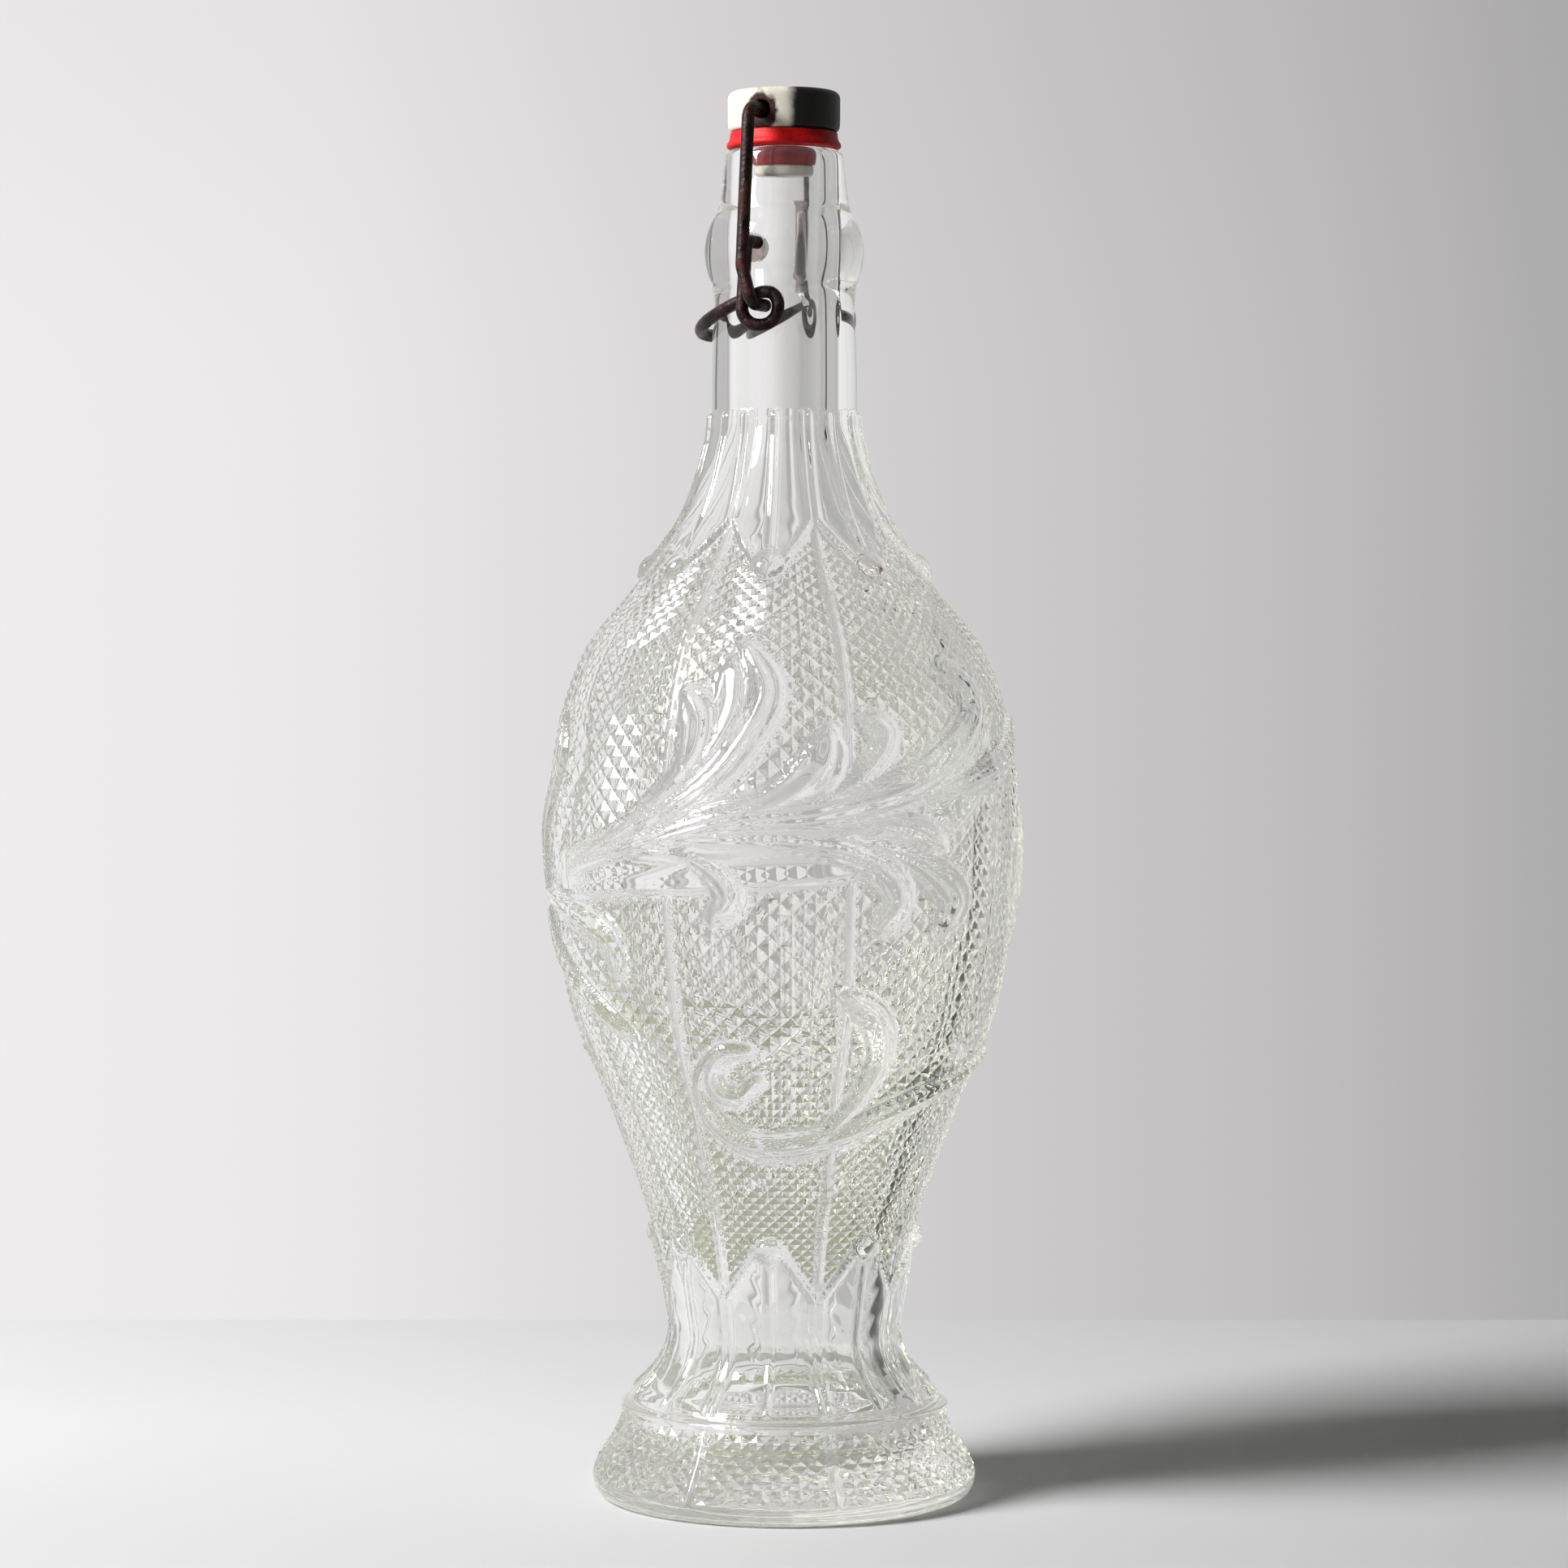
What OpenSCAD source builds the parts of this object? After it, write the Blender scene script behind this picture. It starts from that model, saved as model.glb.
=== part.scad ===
// Swing top bottle: a footed glass bottle with moulded leaves and scrolls, and a wire
// closure that pulls a porcelain stopper and its rubber gasket down on the mouth.
// +Z is up, the origin is the centre of the base. The wires turn about axes along Y,
// and the thumb loop is at -X.

/* [Bottle body] */
// Largest radius of the body, without the relief
belly_r = 52; // [46:0.5:58]
// Height of the largest radius
belly_z = 146; // [140:1:152]
// Radius of the narrow waist above the foot
waist_r = 24.8; // [22:0.2:28]
// Height of the waist
waist_z = 38; // [36:0.5:42]
// Wall of the body
body_wall = 4.5; // [3:0.1:6]

/* [Neck and mouth] */
// Outer radius of the neck
neck_r = 16.1; // [15.6:0.1:16.3]
// Height where the shoulder becomes the neck
neck_z = 240; // [236:1:244]
// Radius of the bore through the neck
bore_r = 8.4; // [8:0.1:9.5]
// Outer radius of the lip
lip_r = 13.1; // [12.6:0.1:13.6]
// Height of the lip's top above the shoulder
neck_h = 57; // [54:0.5:60]
// Rounding of the lip
lip_round = 1.8; // [1:0.1:2.2]
// Largest radius of the collar that holds the wire
collar_r = 17.6; // [17.2:0.1:18]
// How far the middle of the collar lies below the lip's top
collar_drop = 22.6; // [22:0.2:24]
// Radius of the two sockets for the wire in the collar
socket_r = 2.8; // [2.2:0.1:3]
// Depth of the sockets below the collar's largest radius
socket_depth = 3.8; // [3:0.1:4.4]

/* [Foot] */
// Largest radius of the foot
foot_r = 42.5; // [39:0.5:46]
// Height of the foot's largest radius
foot_round = 5; // [3.5:0.25:6]
// Radius of the ledge on top of the foot
ledge_r = 36; // [34:0.5:38]
// Height of the ledge
ledge_z = 21; // [18:0.5:23]
// Height of the floor inside the bottle
floor_z = 8; // [6:0.5:11]
// Hollow under the base
kick = 3; // [1.5:0.25:4]

/* [Relief] */
// Number of leaves around the shoulder, and around the stem
leaf_count = 8; // [6:1:9]
// Half of a leaf's width
leaf_half_w = 7.2; // [5:0.2:8]
// How far the leaves stand out
leaf_relief = 1.3; // [0.8:0.1:1.8]
// How far a leaf's curled tip stands out beyond the leaf
leaf_curl = 1.1; // [0.4:0.1:1.6]
// How far the scrolls stand out
scroll_relief = 2; // [1:0.1:2.6]
// Width of the ribs between the panels
rib_w = 1.6; // [1:0.1:3]
// How far the ribs stand out
rib_relief = 0.5; // [0.3:0.05:1]

/* [Stopper and gasket] */
// Radius of the porcelain cap
cap_r = 12.4; // [12:0.1:13]
// Height of the porcelain cap
cap_h = 9; // [8:0.2:11]
// Rounding of the cap's top edge
cap_round = 1.8; // [1:0.1:2.5]
// Radius of the porcelain core inside the gasket
core_r = 5.2; // [4.5:0.1:5.6]
// Radius of the nose below the gasket
nose_r = 6.5; // [6.2:0.1:7]
// Height of the nose
nose_h = 2.6; // [2:0.1:3]
// Radius of the crosswise hole through the cap
cap_hole_r = 2; // [1.7:0.1:2.4]
// Height of the gasket's disc
gasket_h = 3.6; // [3:0.1:4.4]
// Radius of the gasket's lower edge
gasket_r = 12.7; // [12.3:0.1:13]
// Radius of the gasket's sleeve in the mouth
sleeve_r = 7.4; // [7:0.1:7.6]
// Length of the sleeve below the disc
sleeve_h = 4.4; // [3.6:0.2:4.6]

/* [Wire closure] */
// Diameter of the wire
wire_d = 2.8; // [2.4:0.1:3]
// Middle radius of the eye in the lever
eye_r = 3.7; // [3.4:0.1:4]
// How far the eye lies behind the sockets
eye_back = 3.6; // [3:0.1:4.2]
// How far the eye lies below the sockets
eye_drop = 14.7; // [14:0.1:15.6]
// Middle radius of the thumb loop
loop_r = 18; // [17.9:0.1:20]
// How far the thumb loop reaches in front of the neck's axis
loop_reach = 18.2; // [18.1:0.1:20]
// How far the thumb loop dips from the eye's top to its front
loop_dip = 7.8; // [6:0.2:9]
// Bend radius at the corners of the wires
bend_r = 2.2; // [1.8:0.1:2.6]
// Bend radius of the bail above the cap's hole
bail_bend_r = 3.4; // [2.4:0.1:4]

/* [Fits] */
// Gap between parts that move past each other
clearance = 0.3; // [0.2:0.05:0.5]
// Gap between the gasket and the lip with the closure slack
seat_gap = 0.4; // [0.35:0.05:0.6]
// Gap between the wire's end and its socket
pivot_gap = 0.1; // [0.05:0.05:0.2]
// Gap between the porcelain core and the gasket
core_gap = 0.05; // [0.02:0.01:0.1]

/* [Hidden] */
$fn = 64;
wire_r = wire_d / 2;
mouth_z = neck_z + neck_h;
collar_z = mouth_z - collar_drop;

function mix(a, b, t) = a + (b - a) * t;
function clamp(x) = min(1, max(0, x));
function smooth(x) = let (t = clamp(x)) t * t * (3 - 2 * t);

// How far a pin's round surface lies over the wire's flat sides, and beyond its start
pin_over = 0.02;
hidden_start = 0.3;
join_gap = 0.05;

// ---- Outline of the glass: the radius at each height ----

// Heights of the body's outline, as shares of a rise, with the shares of the radius
lower_shares = [[0, 0], [0.19, 0.147], [0.45, 0.507], [0.67, 0.842]];
upper_shares = [[0, 0], [0.255, 0.058], [0.447, 0.234], [0.574, 0.501], [0.745, 0.819], [0.915, 0.975], [1, 1]];
body_curve = concat(
    [for (s = lower_shares) [mix(waist_z, belly_z, s[0]), mix(waist_r, belly_r, s[1])]],
    [for (s = upper_shares) [mix(belly_z, neck_z, s[0]), mix(belly_r, neck_r, s[1])]],
    [[neck_z + 14, neck_r]]
);
function span(c, z, i = 0) = i >= len(c) - 2 || z < c[i + 1][0] ? i : span(c, z, i + 1);
function slope(c, i) = let (a = c[max(0, i - 1)], b = c[min(len(c) - 1, i + 1)]) (b[1] - a[1]) / (b[0] - a[0]);
function curve(c, z) = let (
    i = span(c, z),
    h = c[i + 1][0] - c[i][0],
    t = (z - c[i][0]) / h
) (2 * pow(t, 3) - 3 * t * t + 1) * c[i][1] + (pow(t, 3) - 2 * t * t + t) * h * slope(c, i)
    + (3 * t * t - 2 * pow(t, 3)) * c[i + 1][1] + (pow(t, 3) - t * t) * h * slope(c, i + 1);

// The stem flares from the waist down to the ledge
stem_power = 2.2;
function stem_radius(z) = mix(waist_r, ledge_r, pow((waist_z - z) / (waist_z - ledge_z), stem_power));
function glass_r(z) = z < waist_z ? stem_radius(z) : curve(body_curve, z);

// The wall thickens from the body to the neck, and towards the foot
neck_wall = neck_r - bore_r;
stem_wall = body_wall + 1;
thicken_z = neck_z - 44;
function wall(z) = z < belly_z
    ? mix(stem_wall, body_wall, smooth((z - waist_z) / (belly_z - waist_z)))
    : mix(body_wall, neck_wall, smooth((z - thicken_z) / (neck_z - thicken_z)));

profile_step = 8;
waist_in_r = waist_r - stem_wall;
foot_in_r = ledge_r - 7;
foot_in_round = 5;
foot_in_z = floor_z + foot_in_round;
foot_rim_r = foot_r - 3;
kick_r = foot_r - 8;
contact_round = 0.8;

// Under the base: a shallow dome, the flat ring that it stands on, and its round edge
under_line = concat(
    [for (i = [0:6]) let (t = i / 6) [t * kick_r, kick * (1 - t * t)]],
    [[foot_rim_r - contact_round, 0]]
);
foot_edge = [for (a = [-75:15:0]) [foot_rim_r + (foot_r - foot_rim_r) * cos(a), foot_round * (1 + sin(a))]];
// The foot's side leans in to the ledge, which has a rounded rim
ledge_round = 0.9;
foot_side = [for (t = [0.15:0.17:1]) [
    mix(foot_r, ledge_r - 0.3, t) + 0.9 * sin(360 * t) * (1 - t),
    mix(foot_round, ledge_z - 2 * ledge_round, t)
]];
ledge_edge = [for (a = [-60:30:60]) [ledge_r + ledge_round * cos(a) - 0.4, ledge_z - ledge_round + ledge_round * sin(a)]];
stem_line = [for (t = [0.12:0.11:1]) let (z = mix(ledge_z, waist_z, t)) [glass_r(z), z]];
body_line = [for (z = [waist_z + profile_step:profile_step:neck_z]) [glass_r(z), z]];

// The neck narrows a little below the collar, and more between the collar and the lip
collar_arc_r = 15;
collar_foot_r = neck_r - 0.7;
collar_top_r = lip_r + 1;
collar_centre_r = collar_r - collar_arc_r;
function collar_angle(r) = acos((r - collar_centre_r) / collar_arc_r);
collar_line = let (a0 = -collar_angle(collar_foot_r), a1 = collar_angle(collar_top_r)) [
    for (i = [0:14]) let (a = mix(a0, a1, i / 14)) [
        collar_centre_r + collar_arc_r * cos(a),
        collar_z + collar_arc_r * sin(a)
    ]
];
collar_low_z = collar_line[0][1];
neck_line = [[neck_r, neck_z + 6], [mix(neck_r, collar_foot_r, 0.3), mix(neck_z + 6, collar_low_z, 0.6)]];
lip_line = concat(
    [[lip_r, mouth_z - 5]],
    [for (a = [0:15:90]) [lip_r - lip_round * (1 - cos(a)), mouth_z - lip_round * (1 - sin(a))]]
);

// Down the bore and round the inside
mouth_chamfer = 0.7;
function inner_r(z) = z < waist_z
    ? mix(waist_in_r, foot_in_r, pow((waist_z - z) / (waist_z - foot_in_z), 1.8))
    : curve(body_curve, z) - wall(z);
mouth_line = [[bore_r + mouth_chamfer, mouth_z], [bore_r, mouth_z - mouth_chamfer]];
inner_line = [for (z = [neck_z:-profile_step:foot_in_z]) [inner_r(z), z]];
inner_corner = [for (a = [0:-18:-90]) [
    foot_in_r - foot_in_round + foot_in_round * cos(a),
    foot_in_z + foot_in_round * sin(a)
]];

module glass_turned() {
    rotate_extrude($fn = 96)
        polygon(concat(
            under_line, foot_edge, foot_side, ledge_edge, stem_line, body_line, neck_line,
            collar_line, lip_line, mouth_line, inner_line, inner_corner, [[0, floor_z]]
        ));
}

// ---- Relief on the glass ----

// A point at a bearing and a height, out from the glass by lift. Bearing 0 is -Y.
function on_glass(bearing, z, lift) = let (r = glass_r(z) + lift) [r * sin(bearing), -r * cos(bearing), z];

// Joins rings of points, one after another, into a closed solid
module skin(rings) {
    n = len(rings[0]);
    last = len(rings) - 1;
    sides = [
        for (i = [0:last - 1], j = [0:n - 1]) let (k = (j + 1) % n)
            each [[i * n + j, (i + 1) * n + k, i * n + k], [i * n + j, (i + 1) * n + j, (i + 1) * n + k]]
    ];
    caps = [[for (j = [0:n - 1]) j], [for (j = [n - 1:-1:0]) last * n + j]];
    polyhedron(points = [for (ring = rings) each ring], faces = concat(sides, caps));
}

buried = 0.6;
root_depth = 1.8;
// A section across a relief: shares of the half width, then shares of the lift
relief_section = [[1, 0], [0.72, 0.75], [0.25, 0.8], [0, 1.1], [-0.25, 0.8], [-0.72, 0.75], [-1, 0]];
scroll_section = [[1, 0], [0.6, 0.85], [0, 1], [-0.6, 0.85], [-1, 0]];

// One ring of a relief, across the direction [along, up] at a bearing and height
function relief_ring(bearing, z, along, up, half_w, lift, section) = let (
    size = norm([along, up]),
    turn = [-up / size, along / size],
    deg = 180 / PI / glass_r(z),
    at = function (u, l) on_glass(bearing + u * half_w * turn[0] * deg, z + u * half_w * turn[1], l)
) concat(
    [for (s = section) at(s[0], s[1] == 0 ? -buried : lift * s[1])],
    [at(-0.6, -root_depth), at(0.6, -root_depth)]
);

// A leaf from its root to its curled tip
leaf_steps = 8;
function leaf_half(t) = leaf_half_w * (t < 0.7 ? 0.42 + 0.58 * sin(90 * t / 0.7) : sqrt(1 - 0.85 * pow((t - 0.7) / 0.3, 2)));
function leaf_lift(t) = leaf_relief * (0.25 + 0.75 * smooth(1.6 * t)) + leaf_curl * smooth((t - 0.72) / 0.2);
module leaf(bearing, root_z, tip_z) {
    skin([
        for (i = [0:leaf_steps]) let (t = i / leaf_steps)
            relief_ring(bearing, mix(root_z, tip_z, t), 0, sign(tip_z - root_z), leaf_half(t), leaf_lift(t), relief_section)
    ]);
}

// Bearings of the first leaf and of the first rib
leaf_bearing = 17.5;
rib_bearing = leaf_bearing + 180 / leaf_count;
shoulder_leaf_z = [neck_z - 1, neck_z - 35];
stem_leaf_z = [ledge_z + 6, ledge_z + 37.5];
module leaves() {
    for (i = [0:leaf_count - 1]) {
        leaf(leaf_bearing + i * 360 / leaf_count, shoulder_leaf_z[0], shoulder_leaf_z[1]);
        leaf(leaf_bearing + i * 360 / leaf_count, stem_leaf_z[0], stem_leaf_z[1]);
    }
}

// A rib is a low ridge that follows the glass between two panels
rib_z = [stem_leaf_z[1] - 6, shoulder_leaf_z[1] + 6];
rib_section = [[1, 0], [0, 1], [-1, 0]];
rib_steps = 10;
module ribs() {
    for (i = [0:leaf_count - 1])
        skin([
            for (j = [0:rib_steps])
                relief_ring(
                    rib_bearing + i * 360 / leaf_count, mix(rib_z[0], rib_z[1], j / rib_steps), 0, 1,
                    rib_w, rib_relief, rib_section
                )
        ]);
}

// Strokes of the acanthus scroll, which comes twice around the body. Each has the
// points that it runs through, as bearings and heights, and its greatest half width.
scroll_strokes = [
    // Main stem, and the tall plume that it ends in
    [[[-37, 140], [-8, 147], [12, 151.5], [30, 153], [46, 156], [59, 160], [72, 167], [80, 174], [80, 180], [74, 183]], 4.4],
    // Plume on the left, with the small leaf before it and the lobe behind it
    [[[-36, 140], [-10, 151], [6, 160], [15, 170], [19, 179], [15, 185]], 4.4],
    [[[-4, 156], [4, 162], [8, 171], [4, 177]], 3.2],
    [[[10, 156], [20, 161], [25, 166], [28, 172]], 2.8],
    // Small curl and the far leaf above the stem
    [[[30, 155], [40, 159], [47, 165], [49, 170], [46, 172]], 2.2],
    [[[60, 156], [78, 160], [93, 164], [104, 172]], 3.4],
    // Plumes below the stem
    [[[-8, 147], [12, 147.5], [27, 147], [42, 144], [50, 139], [52, 134], [49, 130]], 3.6],
    [[[38, 148], [54, 144], [64, 139], [69, 134], [67, 129]], 3.6],
    [[[42, 151], [54, 150], [63, 145]], 2.2],
    [[[-15, 145], [0, 144], [8, 140], [11, 135], [8, 132]], 2.6],
    // Leaves that hang from the root of the stem
    [[[-62, 134], [-42, 131], [-26, 126], [-22, 119]], 3.2],
    [[[-62, 130], [-52, 121], [-38, 113], [-23, 106]], 3.4],
    // Leaf that stands at the root of the stem
    [[[-64, 133], [-60, 146], [-51, 156], [-46, 165], [-49, 173]], 3],
    // Lower scroll: its curled end, its stem and the leaf that rises from it
    [[[16, 96], [11, 92.5], [5, 93], [3, 97], [7, 101.5], [14, 102.5]], 2.2],
    [[[10, 102.5], [1, 98], [-1, 91], [4, 85], [14, 81.5], [27, 81.5], [44, 84], [62, 89], [84, 94], [108, 99]], 2.8],
    [[[40, 85], [48, 93], [51, 101], [48, 109], [41, 113]], 2.8]
];
scroll_step = 7;
// Length of the polyline through a stroke's points
function stroke_length(p, i = 0) = i > len(p) - 2
    ? 0
    : norm([(p[i + 1][0] - p[i][0]) * PI / 180 * belly_r, p[i + 1][1] - p[i][1]]) + stroke_length(p, i + 1);
// A smooth line through the points, at share t of its length
function knot(p, i) = p[max(0, min(len(p) - 1, i))];
function along(p, t) = let (
    s = t * (len(p) - 1),
    i = min(len(p) - 2, floor(s)),
    f = s - i,
    a = knot(p, i - 1), b = knot(p, i), c = knot(p, i + 1), d = knot(p, i + 2)
) 0.5 * (2 * b + (c - a) * f + (2 * a - 5 * b + 4 * c - d) * f * f + (3 * b - a - 3 * c + d) * pow(f, 3));
function stroke_share(t) = 0.3 + 0.7 * pow(sin(180 * mix(0.06, 0.94, pow(t, 1.3))), 0.8);
module stroke(points, half_w) {
    steps = max(6, ceil(stroke_length(points) / scroll_step));
    skin([
        for (i = [0:steps]) let (
            t = i / steps,
            at = along(points, t),
            ahead = along(points, min(1, t + 0.02)) - along(points, max(0, t - 0.02)),
            share = stroke_share(t)
        ) relief_ring(
            at[0], at[1], ahead[0] * PI / 180 * glass_r(at[1]), ahead[1],
            half_w * share, scroll_relief * sqrt(share), scroll_section
        )
    ]);
}
module scrolls() {
    for (half = [0, 180], s = scroll_strokes)
        stroke([for (p = s[0]) [p[0] + half, p[1]]], s[1]);
}

// ---- Places of the closure ----

// The wire's ends press up against the roofs of their sockets
pivot = [0, collar_z + socket_r - wire_r - pivot_gap];
eye = [eye_back, pivot[1] - eye_drop];
gasket_z = mouth_z + seat_gap;
cap_z = gasket_z + gasket_h;
cap_hole_z = cap_z + 0.43 * cap_h;

socket_floor = collar_r - socket_depth;
module sockets() {
    for (side = [-1, 1])
        translate([0, side * (socket_floor + 5), collar_z])
            rotate([90, 0, 0])
                cylinder(r = socket_r, h = 10, center = true);
}

module bottle() {
    color([0.86, 0.9, 0.87, 0.45])
        difference() {
            union() {
                glass_turned();
                leaves();
                scrolls();
                ribs();
            }
            sockets();
        }
}

// ---- Stopper and gasket ----

nose_z = gasket_z - sleeve_h - nose_h;
nose_round = 1;
module stopper() {
    color([0.93, 0.91, 0.84])
        difference() {
            rotate_extrude($fn = 96)
                polygon(concat(
                    [[0, nose_z]],
                    [for (a = [-90:15:0]) [nose_r - nose_round + nose_round * cos(a), nose_z + nose_round * (1 + sin(a))]],
                    [[nose_r, nose_z + nose_h - core_gap], [core_r, nose_z + nose_h - core_gap], [core_r, cap_z]],
                    [[cap_r - 0.7, cap_z], [cap_r - 0.3, cap_z + 0.4]],
                    [for (a = [0:15:90]) [cap_r - cap_round * (1 - cos(a)), cap_z + cap_h - cap_round * (1 - sin(a))]],
                    [[0, cap_z + cap_h]]
                ));
            translate([0, 0, cap_hole_z])
                rotate([90, 0, 0])
                    cylinder(r = cap_hole_r, h = 4 * cap_r, center = true);
        }
}

// The disc flares to a soft lower edge, and the sleeve tapers into the mouth
sleeve_taper = 0.5;
gasket_edge = 0.9;
module gasket() {
    bore = core_r + core_gap;
    color([0.82, 0.08, 0.07])
        rotate_extrude($fn = 96)
            polygon(concat(
                [[bore, gasket_z - sleeve_h], [sleeve_r - sleeve_taper, gasket_z - sleeve_h]],
                [[sleeve_r, gasket_z - 0.4], [sleeve_r + 0.4, gasket_z]],
                [[gasket_r - 0.3, gasket_z], [gasket_r, gasket_z + 0.25], [gasket_r, gasket_z + gasket_edge]],
                [for (t = [0.25:0.25:1]) [gasket_r - (gasket_r - cap_r + 0.5) * sin(90 * t), mix(gasket_z + gasket_edge, cap_z - core_gap, t)]],
                [[bore, cap_z - core_gap]]
            ));
}

// ---- Wires ----

function unit(v) = v / norm(v);
// Points along a rounded corner at b, on the way from a to c
function corner_arc(a, b, c, r) = let (
    in = unit(b - a),
    out = unit(c - b),
    turn = acos(in * out),
    aside = unit(out - in * (in * out)),
    start = b - in * r * tan(turn / 2),
    steps = max(2, ceil(turn / (r > loop_r / 2 ? 7.5 : 15)))
) [for (i = [0:steps]) let (w = turn * i / steps) start + r * (in * sin(w) + aside * (1 - cos(w)))];
// Length of the wire that a rounded corner takes up, on each side of the corner
function corner_cut(a, b, c, r) = r * tan(acos(unit(b - a) * unit(c - b)) / 2);

// The middle line through the points p, with the bend radii r at its corners
function rounded(p, r) = let (
    q = [p[0], for (i = [1:len(p) - 2]) each corner_arc(p[i - 1], p[i], p[i + 1], r[i]), p[len(p) - 1]]
) [for (i = [0:len(q) - 1]) if (i == 0 || norm(q[i] - q[i - 1]) > join_gap) q[i]];

// Directions of the wire at the points q, and a crosswise direction carried along it
function heading(q, i) = let (
    before = i > 0 ? unit(q[i] - q[i - 1]) : unit(q[1] - q[0]),
    after = i < len(q) - 1 ? unit(q[i + 1] - q[i]) : before
) unit(before + after);
function across(v, t) = unit(v - t * (v * t));
function sideways(q) = [
    for (i = 0, v = across([0.3, 0.2, 1], heading(q, 0)); i < len(q); i = i + 1, v = i < len(q) ? across(v, heading(q, i)) : v) v
];

wire_sides = 12;
module wire(p, r) {
    q = rounded(p, r);
    side = sideways(q);
    skin([
        for (i = [0:len(q) - 1]) let (t = heading(q, i), up = cross(t, side[i]))
            [for (a = [0:360 / wire_sides:359]) q[i] + wire_r * (side[i] * cos(a) + up * sin(a))]
    ]);
}

// A straight stretch along Y that turns in another part, from one y to another
module wire_pin(x, z, from, to) {
    translate([x, (from + to) / 2, z])
        rotate([90, 0, 0])
            cylinder(r = wire_r + pin_over, h = abs(to - from), center = true);
}

// Distances of the wires from the middle plane
link_top_y = collar_r + wire_r + clearance + 0.7;
link_low_y = link_top_y + 2.3;
bail_low_y = link_low_y + wire_d + clearance;
bail_top_y = cap_r + wire_r + bail_bend_r + 1.6;

// Half of the lever: its end in the socket, the link, the eye and the thumb loop's arm
tip_y = socket_floor + pivot_gap;
eye_top = eye[1] + eye_r;
eye_low = eye[1] - eye_r;
function lever_half(side) = [
    [pivot[0], side * (tip_y + hidden_start), pivot[1]],
    [pivot[0], side * link_top_y, pivot[1]],
    [eye[0] - eye_r, side * (link_low_y + 0.3), eye_low],
    [eye[0] + eye_r, side * mix(link_low_y, loop_r, 0.45), eye_low],
    [eye[0] + eye_r, side * mix(link_low_y, loop_r, 0.8), eye_top],
    [eye[0] - 1, side * loop_r, eye_top],
    [-loop_reach, side * loop_r, eye_top - loop_dip]
];
lever_bends = [0, bend_r, eye_r, eye_r - 0.05, eye_r - 0.05, eye_r, loop_r - 0.01];
module lever() {
    near = lever_half(-1);
    far = lever_half(1);
    turned = [for (i = [len(far) - 1:-1:0]) i];
    cut = corner_cut(far[0], far[1], far[2], bend_r);
    color([0.24, 0.13, 0.1]) {
        wire(concat(near, [for (i = turned) far[i]]), concat(lever_bends, [for (i = turned) lever_bends[i]]));
        for (side = [-1, 1])
            wire_pin(pivot[0], pivot[1], side * tip_y, side * (link_top_y - cut));
    }
}

// Half of the bail: the pin in the eye, the arm, and the bend into the cap's hole
pin = [eye[0], eye[1] + eye_r - wire_d - 2 * pivot_gap];
pin_end_y = loop_r - 0.4;
arm_kink_z = pin[1] + 8.3;
function bail_half(side) = [
    [pin[0], side * (pin_end_y + hidden_start), pin[1]],
    [pin[0], side * bail_low_y, pin[1]],
    [0.25 * pin[0], side * (bail_low_y - 1), arm_kink_z],
    [0, side * bail_top_y, cap_hole_z],
    [0, 0, cap_hole_z]
];
module bail() {
    near = bail_half(-1);
    far = bail_half(1);
    pin_cut = corner_cut(far[0], far[1], far[2], bend_r);
    bar_end = bail_top_y - corner_cut(far[2], far[3], far[4], bail_bend_r);
    color([0.27, 0.15, 0.11]) {
        wire(
            concat([for (i = [0:3]) near[i]], [for (i = [3:-1:0]) far[i]]),
            [0, bend_r, 5, bail_bend_r, bail_bend_r, 5, bend_r, 0]
        );
        wire_pin(0, cap_hole_z, -bar_end, bar_end);
        for (side = [-1, 1])
            wire_pin(pin[0], pin[1], side * pin_end_y, side * (bail_low_y - pin_cut));
    }
}

bottle();
stopper();
gasket();
bail();
lever();
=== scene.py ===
"""A swing top bottle of pressed glass, with its porcelain stopper, rubber gasket and wire closure."""
from math import atan2, ceil, cos, degrees, pi, radians, sin, tan
from types import SimpleNamespace
from typing import NamedTuple

import bmesh
import bpy
import numpy as np
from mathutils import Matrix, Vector


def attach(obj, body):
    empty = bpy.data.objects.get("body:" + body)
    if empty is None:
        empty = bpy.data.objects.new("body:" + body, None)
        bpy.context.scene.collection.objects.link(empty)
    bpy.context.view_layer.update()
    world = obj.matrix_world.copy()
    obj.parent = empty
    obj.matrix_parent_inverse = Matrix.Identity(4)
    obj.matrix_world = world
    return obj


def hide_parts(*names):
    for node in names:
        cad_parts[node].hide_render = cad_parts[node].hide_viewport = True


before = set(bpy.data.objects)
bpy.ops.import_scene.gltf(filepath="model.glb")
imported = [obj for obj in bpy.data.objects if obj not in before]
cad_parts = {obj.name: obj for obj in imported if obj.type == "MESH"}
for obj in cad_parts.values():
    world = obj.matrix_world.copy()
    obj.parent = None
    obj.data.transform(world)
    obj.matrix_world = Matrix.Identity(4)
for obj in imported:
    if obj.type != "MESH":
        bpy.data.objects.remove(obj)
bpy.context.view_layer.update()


# ---- The view ----

MM = 0.001
# The camera: degrees round from the front, and metres from the axis and above the floor
CAMERA_AZIMUTH = 24.0
CAMERA_REACH, CAMERA_HEIGHT = 0.987, 0.193
# The square picture in pixels: its side, the camera's focal length and the row of the horizon
PICTURE, FOCAL, HORIZON = 1932, 5500, 768
# Directions on the floor: to the camera's right, and towards the camera
ASIDE = Vector((cos(radians(CAMERA_AZIMUTH)), sin(radians(CAMERA_AZIMUTH)), 0))
TOWARD = Vector((sin(radians(CAMERA_AZIMUTH)), -cos(radians(CAMERA_AZIMUTH)), 0))


# ---- Sizes, in millimetres, with heights above the floor ----

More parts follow.
